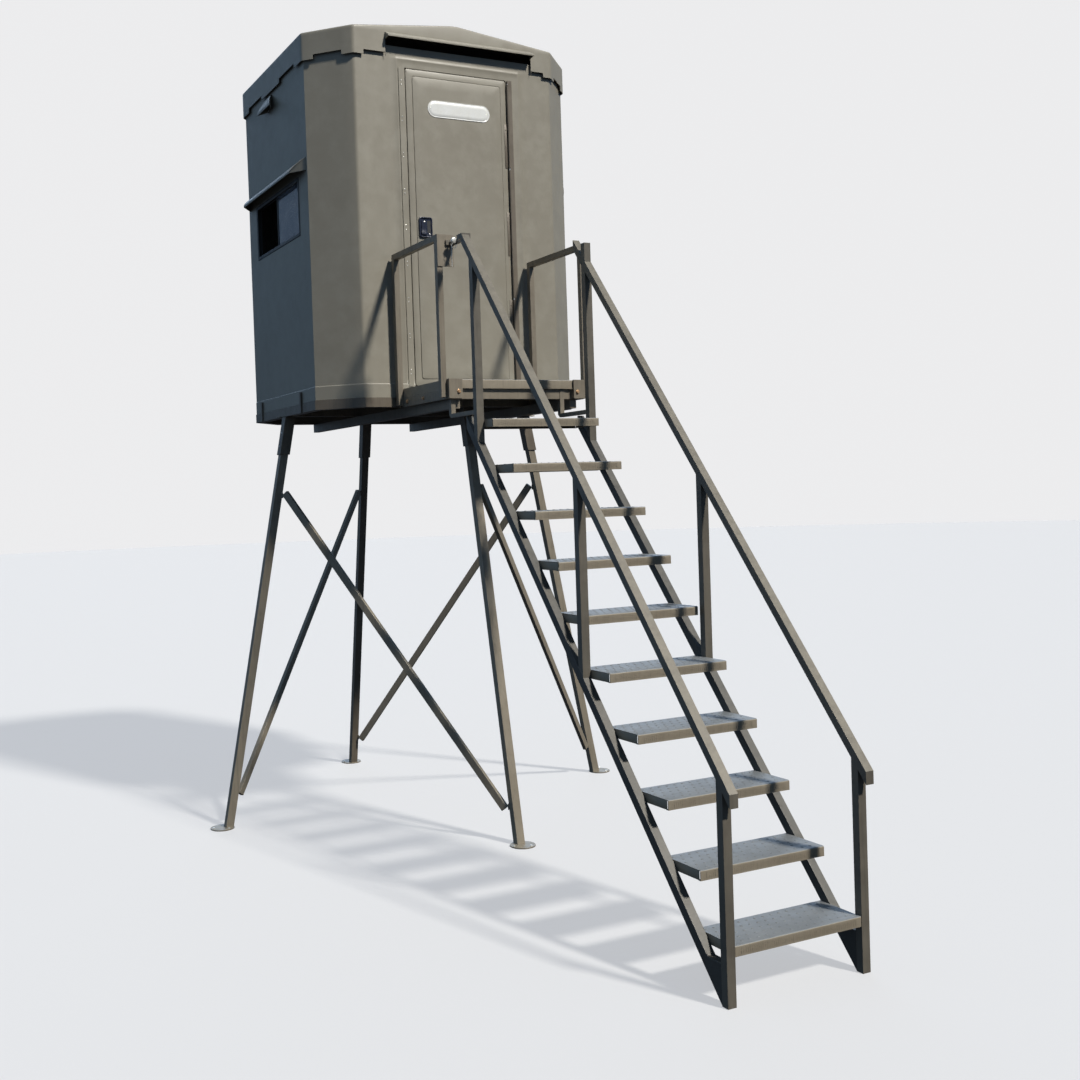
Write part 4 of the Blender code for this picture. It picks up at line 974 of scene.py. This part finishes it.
def latch():
    """A pan with a rolled rim, a paddle on its left that lifts at its foot, and a hand hollow lined with a
    black sheet as painted shade.
    """
    pan_low, pan_high = smaller(*span("latch_pan"), 0.78, 0.93)
    paddle_low, paddle_high = smaller(*span("latch_paddle"), 0.72, 1.0)
    front = pan_low.y
    floor = front + 0.0064
    bm = bmesh.new()
    panel(bm, (pan_low.x, pan_high.x, pan_low.z, pan_high.z), [
        (0.0030, pan_high.y, 0.008), (0.0, pan_high.y - 0.0010, 0.018), (0.0, front + 0.0022, 0.018),
        (0.0008, front + 0.0006, 0.017), (0.0030, front, 0.015), (0.0070, front, 0.011),
        (0.0085, front + 0.0012, 0.010), (0.0095, front + 0.0060, 0.009), (0.0120, floor, 0.008),
        (0.0400, floor, 0.004),
    ])
    new_piece("latch_body", outward(bm), LATCH, "door", ["latch_pan"], angle=50.0)
    left = paddle_low.x
    right = left + (paddle_high.x - left) * 0.62
    top = paddle_high.z - 0.004
    tall = top - paddle_low.z
    # A black sheet on the floor of the hand hollow: painted shade in the recess.
    bm = bmesh.new()
    hollow_low = (right + 0.003, floor - 0.0006, paddle_low.z + 0.012)
    rounded_box(bm, hollow_low, (paddle_high.x + 0.002, floor - 0.0001, top), 0.0)
    new_piece("latch_hollow_shade_sheet", outward(bm), RUBBER, "door")
    bm = bmesh.new()
    thick = 0.0028
    loops = []
    steps = 16
    for step in range(steps + 1):
        share = step / steps
        flare = 0.5 - 0.5 * math.cos(math.pi * min(1.0, max(0.0, (share - 0.6) / 0.4)))
        depth = paddle_low.y + 0.0042 * (1 - flare)
        inset = 0.002 * (1 - flare) + (0.002 if step in (0, steps) else 0.0)
        wide = right - left - 2 * inset
        crown = [
            Vector((left + inset + wide * spot, depth + 0.0016 * (2 * spot - 1) ** 4, top - tall * share))
            for spot in (0.0, 0.05, 0.14, 0.3, 0.5, 0.7, 0.86, 0.95, 1.0)
        ]
        loops.append(crown + [point + Vector((0.0, thick, 0.0)) for point in reversed(crown)])
    loft(bm, loops)
    new_piece("latch_handle", outward(bm), LATCH, "paddle", ["latch_paddle"], angle=50.0)
    bm = bmesh.new()
    rivet(bm, ((left + right) / 2, paddle_low.y + 0.0042, paddle_high.z - 0.014), (0, -1, 0), 0.0068)
    new_piece("latch_rivet", outward(bm), ZINC, "paddle")
    bm = bmesh.new()
    rivet(bm, (paddle_high.x - 0.006, floor, paddle_low.z + 0.004), (0, -1, 0), 0.0068)
    new_piece("latch_screw", outward(bm), ZINC, "door")


def badge():
    """A blank white plate with round ends and a thin raised border."""
    low, high = span("name_plate")
    half = (high.z - low.z) / 2
    bm = bmesh.new()
    rings = [
        (0.0010, high.y), (0.0, high.y - 0.0006), (0.0, low.y + 0.0008), (0.0008, low.y), (0.0050, low.y),
        (0.0056, low.y + 0.0005), (0.0064, low.y + 0.0005), (0.0070, low.y), (0.0300, low.y),
    ]
    loft(bm, [
        rectangle_loop(low.x, high.x, low.z, high.z, inset, y, half - inset - 0.0002, 12)
        for inset, y in rings
    ])
    new_piece("blank_badge", outward(bm), BADGE, "door", ["name_plate"], angle=40.0)
    bm = bmesh.new()
    for x in (low.x + 0.022, high.x - 0.022):
        rivet(bm, (x, low.y + 0.0004, (low.z + high.z) / 2), (0, -1, 0), 0.0032)
    new_piece("badge_rivets", outward(bm), ZINC, "door")


# Stairs and platform

GRIP_UP = 0.0025
RIB_PITCH = 0.0125
RIB_OUT = 0.0022
TREADS = sorted(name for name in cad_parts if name.startswith("stair_tread_"))


def round_nose(radius, y, top, turn_back=False):
    """A quarter round from an upright face into a flat top, or from the top into the far face."""
    angles = [math.pi / 2 * step / 5 for step in range(6)]
    if turn_back:
        angles.reverse()
    side = -1 if turn_back else 1
    return [
        (y + side * radius * (1 - math.cos(angle)), top - radius * (1 - math.sin(angle))) for angle in angles
    ]


def tread_mesh():
    """One folded tread: a channel with a rounded nose, fine upright ribs in front and raised grips on top.

    Its middle is at X 0, its front at Y 0 and its top at Z 0."""
    low, high = span("stair_tread_01")
    half = (high.x - low.x) / 2
    deep = high.y - low.y
    thick = high.z - low.z
    bm = bmesh.new()
    plate, hem, nose = 0.004, 0.018, 0.007
    section = [(0.0, -thick), *round_nose(nose, 0.0, -GRIP_UP), *round_nose(nose, deep, -GRIP_UP, True)]
    section += [
        (deep, -thick), (deep - hem, -thick), (deep - hem, -thick + plate), (deep - plate, -thick + plate),
        (deep - plate, -GRIP_UP - plate), (plate, -GRIP_UP - plate), (plate, -thick + plate),
        (hem, -thick + plate), (hem, -thick),
    ]
    loft(bm, [[Vector((x, y, z)) for y, z in section] for x in (-half, half)])
    return bm, half, deep, thick


def add_ribs(bm, half, thick):
    """Upright ribs pressed in the front face, clear of the ends."""
    count = int((2 * half - 0.05) / RIB_PITCH)
    low, high = -thick + 0.006, -0.011
    section = [
        (-0.0036, 0.0), (-0.0018, -RIB_OUT), (0.0018, -RIB_OUT), (0.0036, 0.0),
        (0.0036, 0.001), (-0.0036, 0.001),
    ]
    for index in range(count):
        x = (index - (count - 1) / 2) * RIB_PITCH
        loft(bm, [
            [Vector((x + across, out * share + RIB_OUT, z)) for across, out in section]
            for z, share in ((low, 0.3), (low + 0.003, 1.0), (high - 0.003, 1.0), (high, 0.3))
        ])


def two_tone(mesh):
    """Blue-grey painted sky reflection and painted shade on what faces up, and paint on the rest."""
    mesh.materials.clear()
    mesh.materials.append(TREAD_PAINT)
    mesh.materials.append(SKY_TINTED_TOPS)
    for face in mesh.polygons:
        face.material_index = 1 if face.normal.z > 0.6 else 0


def add_grips(bm, half, front, deep, top, rows, pitch=0.048, size=0.009):
    """Raised round buttons in staggered rows on a flat top."""
    for row in range(rows):
        y = front + deep * (row + 0.5) / rows
        shift = pitch / 2 if row % 2 else 0.0
        count = int((2 * half - 0.03 - shift) / pitch)
        for index in range(count + 1):
            x = -half + 0.02 + shift + index * pitch
            if x <= half - 0.015:
                loft(bm, [
                    circle((x, y, top + z), (0, 0, 1), radius, 8)
                    for z, radius in ((-0.0015, size), (0.0009, size * 0.78), (GRIP_UP - 0.0003, size * 0.45))
                ])


def treads():
    """Ten copies of one tread, and the bolts at their ends."""
    bm, half, deep, thick = tread_mesh()
    add_ribs(bm, half, thick)
    add_grips(bm, half, 0.016, deep - 0.03, -GRIP_UP, 5)
    for side in (-1, 1):
        low, high = sorted((side * (half - 0.0035), side * (half - 0.0005)))
        rounded_box(bm, (low, 0.012, -thick + 0.001), (high, deep - 0.012, -GRIP_UP - 0.0045), 0.0008)
    outward(bm)
    mesh = bpy.data.meshes.new("tread_plate")
    bm.to_mesh(mesh)
    bm.free()
    mesh.shade_smooth()
    mesh.set_sharp_from_angle(angle=math.radians(40))
    two_tone(mesh)
    for name in TREADS:
        low, high = span(name)
        middle = Vector(((low.x + high.x) / 2, low.y, high.z))
        obj = placed(name.replace("stair_tread", "tread_plate"), mesh, SKY_TINTED_TOPS, replaces=[name])
        obj.location = middle + TOWER
    bm = bmesh.new()
    for name in TREADS:
        low, high = span(name)
        for x, outside in ((low.x, -1), (high.x, 1)):
            for share in (0.3, 0.7):
                y = low.y + (high.y - low.y) * share
                bolt(bm, (x + outside * -0.004, y, (low.z + high.z) / 2 - 0.004), (-outside, 0, 0), 0.0085)
    new_piece("tread_bolts", outward(bm), ZINC)


def deck():
    """The platform's plate, with a rounded front edge and raised grips."""
    low, high = span("platform_deck")
    half = (high.x - low.x) / 2
    top = high.z - GRIP_UP
    section = [(low.y, low.z), *round_nose(0.006, low.y, top), (high.y, top), (high.y, low.z)]
    bm = bmesh.new()
    loft(bm, [[Vector((x, y, z)) for y, z in section] for x in (low.x, high.x)])
    add_grips(bm, half, low.y + 0.03, high.y - low.y - 0.05, top, 14, 0.052, 0.010)
    plate = new_piece("deck_plate", outward(bm), TREAD_PAINT, replaces=["platform_deck"])
    two_tone(plate.data)


# Fasteners and small steel pieces

def platform_bolts():
    """Yellow bolts through the platform's side beams and its front corners."""
    deck_low, deck_high = span("platform_deck")
    middle = (RING_Z[0] + RING_Z[1]) / 2
    bm = bmesh.new()
    for y in (deck_low.y + 0.075, deck_low.y + 0.36, deck_high.y - 0.12):
        for x, out in ((deck_low.x - 0.0012, -1), (deck_high.x + 0.0012, 1)):
            bolt(bm, (x, y, middle), (out, 0, 0), 0.0115)
    for x in (deck_low.x + 0.068, deck_high.x - 0.068):
        bolt(bm, (x, deck_low.y - CORNER_PROUD - 0.0002, middle + 0.012), (0, -1, 0), 0.0115)
    new_piece("platform_bolts", outward(bm), COPPER)


def ring_points(centre, radius, up, across):
    """Points round a ring that lies in the plane of two directions."""
    count = 28
    return [
        Vector(centre) + radius * (math.cos(angle) * Vector(across) + math.sin(angle) * Vector(up))
        for angle in (2 * math.pi * index / count for index in range(count))
    ]


def wire(bm, points, radius, closed, sides=8):
    """A round wire along points."""
    count = len(points)
    loops = []
    across = None
    for index, point in enumerate(points):
        after = points[(index + 1) % count] if closed or index < count - 1 else point
        before = points[index - 1] if closed or index > 0 else point
        direction = (after - before).normalized()
        if across is None:
            across = direction.orthogonal().normalized()
        across = (across - direction * across.dot(direction)).normalized()
        up = direction.cross(across)
        loops.append([
            point + radius * (math.cos(turn) * across + math.sin(turn) * up)
            for turn in (2 * math.pi * side / sides for side in range(sides))
        ])
    loft(bm, loops, wrap=closed)


def chain():
    """Links from the pin's ring down the rail, each turned a quarter from the last."""
    low, high = span("pin_chain")
    wire_r, link_long, link_wide = 0.0018, 0.0175, 0.0062
    pitch = link_long - 2.6 * wire_r
    steps = 16
    bm = bmesh.new()
    for index in range(int((high.z - low.z - 0.004) / pitch)):
        z = high.z - 0.004 - link_long / 2 - index * pitch
        sway = 0.0012 * math.sin(index * 0.9)
        across = Vector((1, 0, 0)) if index % 2 else Vector((0, 1, 0))
        centre = Vector(((low.x + high.x) / 2 + sway, (low.y + high.y) / 2, z))
        points = []
        for step in range(steps):
            angle = 2 * math.pi * step / steps
            straight = math.copysign((link_long - link_wide) / 2, math.sin(angle))
            rise = link_wide / 2 * math.sin(angle) + straight
            points.append(centre + across * (link_wide / 2 * math.cos(angle)) + Vector((0, 0, rise)))
        wire(bm, points, wire_r * 0.75, True, 6)
    piece = new_piece("lanyard_links", outward(bm), ZINC, body="", replaces=["pin_chain"])
    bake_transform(piece)


def pin_knob():
    """The quick pin's round head, with a pull ring through it."""
    low, high = span("quick_pin")
    middle = (low + high) / 2
    knob_r, ring_r = 0.0195, 0.016
    bm = bmesh.new()
    turned_profile(bm, (middle.x, low.y + 0.006, middle.z), (0, -1, 0), [
        (0.0, 0.0150), (0.0010, 0.0180), (0.0050, knob_r),
        (0.0110, knob_r), (0.0150, 0.0170), (0.0165, 0.0120),
    ], 28)
    centre = (middle.x, low.y - 0.004, middle.z - knob_r - ring_r + 0.004)
    wire(bm, ring_points(centre, ring_r, (0, 0, 1), (1, 0, 0)), 0.0016, True)
    new_piece("pin_knob", outward(bm), ZINC, "pin")


def welds():
    """Beads along the front and sides of each leg socket's top."""
    bm = bmesh.new()
    for side in SIDES:
        low, high = span(f"leg_socket_{side}")
        z = high.z - 0.001
        left, right, front, back = low.x + 0.004, high.x - 0.004, low.y + 0.004, high.y - 0.004
        for start, end in (
            ((left, front), (right, front)), ((right, front), (right, back)), ((left, front), (left, back)),
        ):
            weld_bead(bm, (*start, z), (*end, z), 0.0035, 0.006)
    new_piece("weld_beads", outward(bm), STEEL)


def socket_bolts():
    """Two set bolts in the outer face of each leg socket."""
    bm = bmesh.new()
    for side in SIDES:
        low, high = span(f"leg_socket_{side}")
        centre = (low + high) / 2
        axis = 0 if abs(centre.x) > abs(centre.y) else 1
        outside = math.copysign(1.0, centre[axis])
        direction = Vector((0.0, 0.0, 0.0))
        direction[axis] = outside
        slope = abs((high[axis] - low[axis] - 0.065) / (high.z - low.z))
        for z in (low.z + 0.06, low.z + 0.16):
            base = Vector(centre)
            outer = high[axis] if outside > 0 else low[axis]
            base[axis] = outer - outside * ((z - low.z) * slope + 0.001)
            base.z = z
            bolt(bm, base, direction, 0.009)
    new_piece("socket_bolts", outward(bm), ZINC)


def foot_bolts():
    """Anchor stakes' heads and washers on the round foot plates."""
    bm = bmesh.new()
    for side in SIDES:
        low, high = span(f"foot_plate_{side}")
        centre = (low + high) / 2
        for angle in (2 * math.pi * (index + 0.5) / 3 for index in range(3)):
            x, y = centre.x + 0.064 * math.cos(angle), centre.y + 0.064 * math.sin(angle)
            bolt(bm, (x, y, high.z - 0.0002), (0, 0, 1), 0.0085)
    new_piece("foot_bolts", outward(bm), ZINC)


# Steel nodes kept from CAD

def kept_steel():
    """CAD nodes whose shape is right: rounded edges by modifiers, and their materials."""
    for side in SIDES:
        # The left, front and right legs take the lighter copy, painted light; the rear leg keeps the darker
        # frame steel.
        finish_cad(f"leg_{side}", FRAME_STEEL if side == "rear" else PAINTED_LIT_STEEL, 0.005, 3)
        finish_cad(f"leg_socket_{side}", FRAME_STEEL, 0.002)
        finish_cad(f"foot_plate_{side}", STEEL, 0.0015)
        finish_cad(f"brace_{side}", PAINTED_LIT_STEEL, 0.0025)
    for side in ("left", "right"):
        finish_cad(f"stringer_{side}", DARK_STEEL, 0.0025)
        finish_cad(f"handrail_{side}", STAIR_STEEL, 0.003)
        finish_cad(f"platform_rail_{side}", STEEL, 0.003)
    finish_cad("base_frame", FRAME_STEEL, 0.0015)
    finish_cad("platform_frame", STEEL, 0.0015)
    finish_cad("cabin_floor", PLY, 0.001)
    finish_cad("jamb_trim", PLASTIC, 0.0008)
    finish_cad("jamb_hinge", FRAME_STEEL, 0.0)
    finish_cad("door_hinge_pin", ZINC, 0.0)
    finish_cad("latch_bolt", ZINC, 0.0008)
    finish_cad("quick_pin", ZINC, 0.0)
    for side in ("left", "right", "rear"):
        finish_cad(f"window_pane_fixed_{side}", GLASS, 0.0004)
        finish_cad(f"window_pane_sliding_{side}", GLASS, 0.0004)


# Floor, light and camera

def stage_material(name, colour, glow):
    made = bpy.data.materials.new(name)
    made.use_nodes = True
    shader = made.node_tree.nodes["Principled BSDF"]
    shader.inputs["Base Color"].default_value = (*colour, 1.0)
    shader.inputs["Roughness"].default_value = 0.9
    shader.inputs["Specular IOR Level"].default_value = 0.1
    shader.inputs["Emission Color"].default_value = (*glow, 1.0)
    shader.inputs["Emission Strength"].default_value = 1.0
    return made


def stage():
    """A plain pale floor that runs out to a plain pale dome. The dome gives no light."""
    bm = bmesh.new()
    bmesh.ops.create_circle(bm, cap_ends=True, segments=96, radius=60.0)
    mesh = bpy.data.meshes.new("floor")
    bm.to_mesh(mesh)
    bm.free()
    floor = bpy.data.objects.new("floor", mesh)
    floor.location = (0.0, 0.0, CAD_BOX[0].z - 0.0005)
    floor.data.materials.append(stage_material("pale_floor", (0.24, 0.24, 0.24), (0.48, 0.48, 0.485)))
    floor.visible_diffuse = False
    floor.visible_glossy = False
    bm = bmesh.new()
    bmesh.ops.create_uvsphere(bm, u_segments=64, v_segments=32, radius=59.0)
    bmesh.ops.reverse_faces(bm, faces=bm.faces)
    mesh = bpy.data.meshes.new("backdrop")
    bm.to_mesh(mesh)
    bm.free()
    mesh.shade_smooth()
    dome = bpy.data.objects.new("backdrop", mesh)
    dome.data.materials.append(stage_material("pale_backdrop", (0.0, 0.0, 0.0), (0.84, 0.84, 0.85)))
    dome.visible_diffuse = False
    dome.visible_glossy = False
    dome.visible_shadow = False
    for obj in (floor, dome):
        bpy.context.scene.collection.objects.link(obj)


def sun(name, azimuth, elevation, spread, strength, colour):
    """A far, soft light, from an azimuth to the right of the front and a height in degrees."""
    data = bpy.data.lights.new(name, "SUN")
    data.angle = math.radians(spread)
    data.energy = strength
    data.color = colour
    obj = bpy.data.objects.new(name, data)
    turn, rise = math.radians(azimuth), math.radians(elevation)
    source = Vector((math.sin(turn) * math.cos(rise), -math.cos(turn) * math.cos(rise), math.sin(rise)))
    obj.rotation_euler = source.to_track_quat("Z", "Y").to_euler()
    bpy.context.scene.collection.objects.link(obj)


def lights():
    """A warm key from the front right, a cool fill from behind, and a dim sky that is darker below."""
    sun("key", 23.0, 47.0, 5.0, 4.5, (1.0, 0.965, 0.90))
    sun("fill_behind", 160.0, 28.0, 50.0, 0.85, (0.66, 0.80, 1.0))
    sun("fill_left", -122.0, 12.0, 60.0, 0.26, (0.50, 0.72, 1.0))
    world = bpy.data.worlds.new("sky")
    world.use_nodes = True
    bpy.context.scene.world = world
    tree = world.node_tree
    direction = node(tree, "TexCoord").outputs["Generated"]
    height = node(tree, "SeparateXYZ", Vector=direction).outputs["Z"]
    colour = blend(tree, band(tree, height, -0.25, 0.35), (0.030, 0.032, 0.036), (0.14, 0.22, 0.34))
    tree.links.new(colour, tree.nodes["Background"].inputs["Color"])


def camera():
    """The photograph's viewpoint: low, in front and to the left."""
    yaw, pitch, roll = math.radians(25.4312), math.radians(-1.2464), math.radians(1.9924)
    forward = Vector((math.sin(yaw) * math.cos(pitch), math.cos(yaw) * math.cos(pitch), math.sin(pitch)))
    right = Vector((math.cos(yaw), -math.sin(yaw), 0.0))
    up = right.cross(forward)
    across = math.cos(roll) * right - math.sin(roll) * up
    above = math.sin(roll) * right + math.cos(roll) * up
    data = bpy.data.cameras.new("photo_view")
    data.lens = 40.91
    data.sensor_width = 36.0
    data.shift_x, data.shift_y = 0.10175, -0.01809
    data.clip_end = 200.0
    obj = bpy.data.objects.new("photo_view", data)
    turn = Matrix((across, above, -forward)).transposed().to_4x4()
    obj.matrix_world = Matrix.Translation(TOWER + Vector((-3.9302, -8.5369, 2.3349))) @ turn
    bpy.context.scene.collection.objects.link(obj)
    bpy.context.scene.camera = obj
    bpy.context.scene.view_settings.view_transform = "Standard"


camera()
stage()
lights()
front_shell()
rear_shell()
side_wall("left")
side_wall("right")
hoods()
for each in ("left", "right", "rear"):
    window(each)
roof()
brow()
door()
jamb_screws()
latch()
badge()
treads()
deck()
platform_bolts()
chain()
pin_knob()
welds()
socket_bolts()
foot_bolts()
kept_steel()
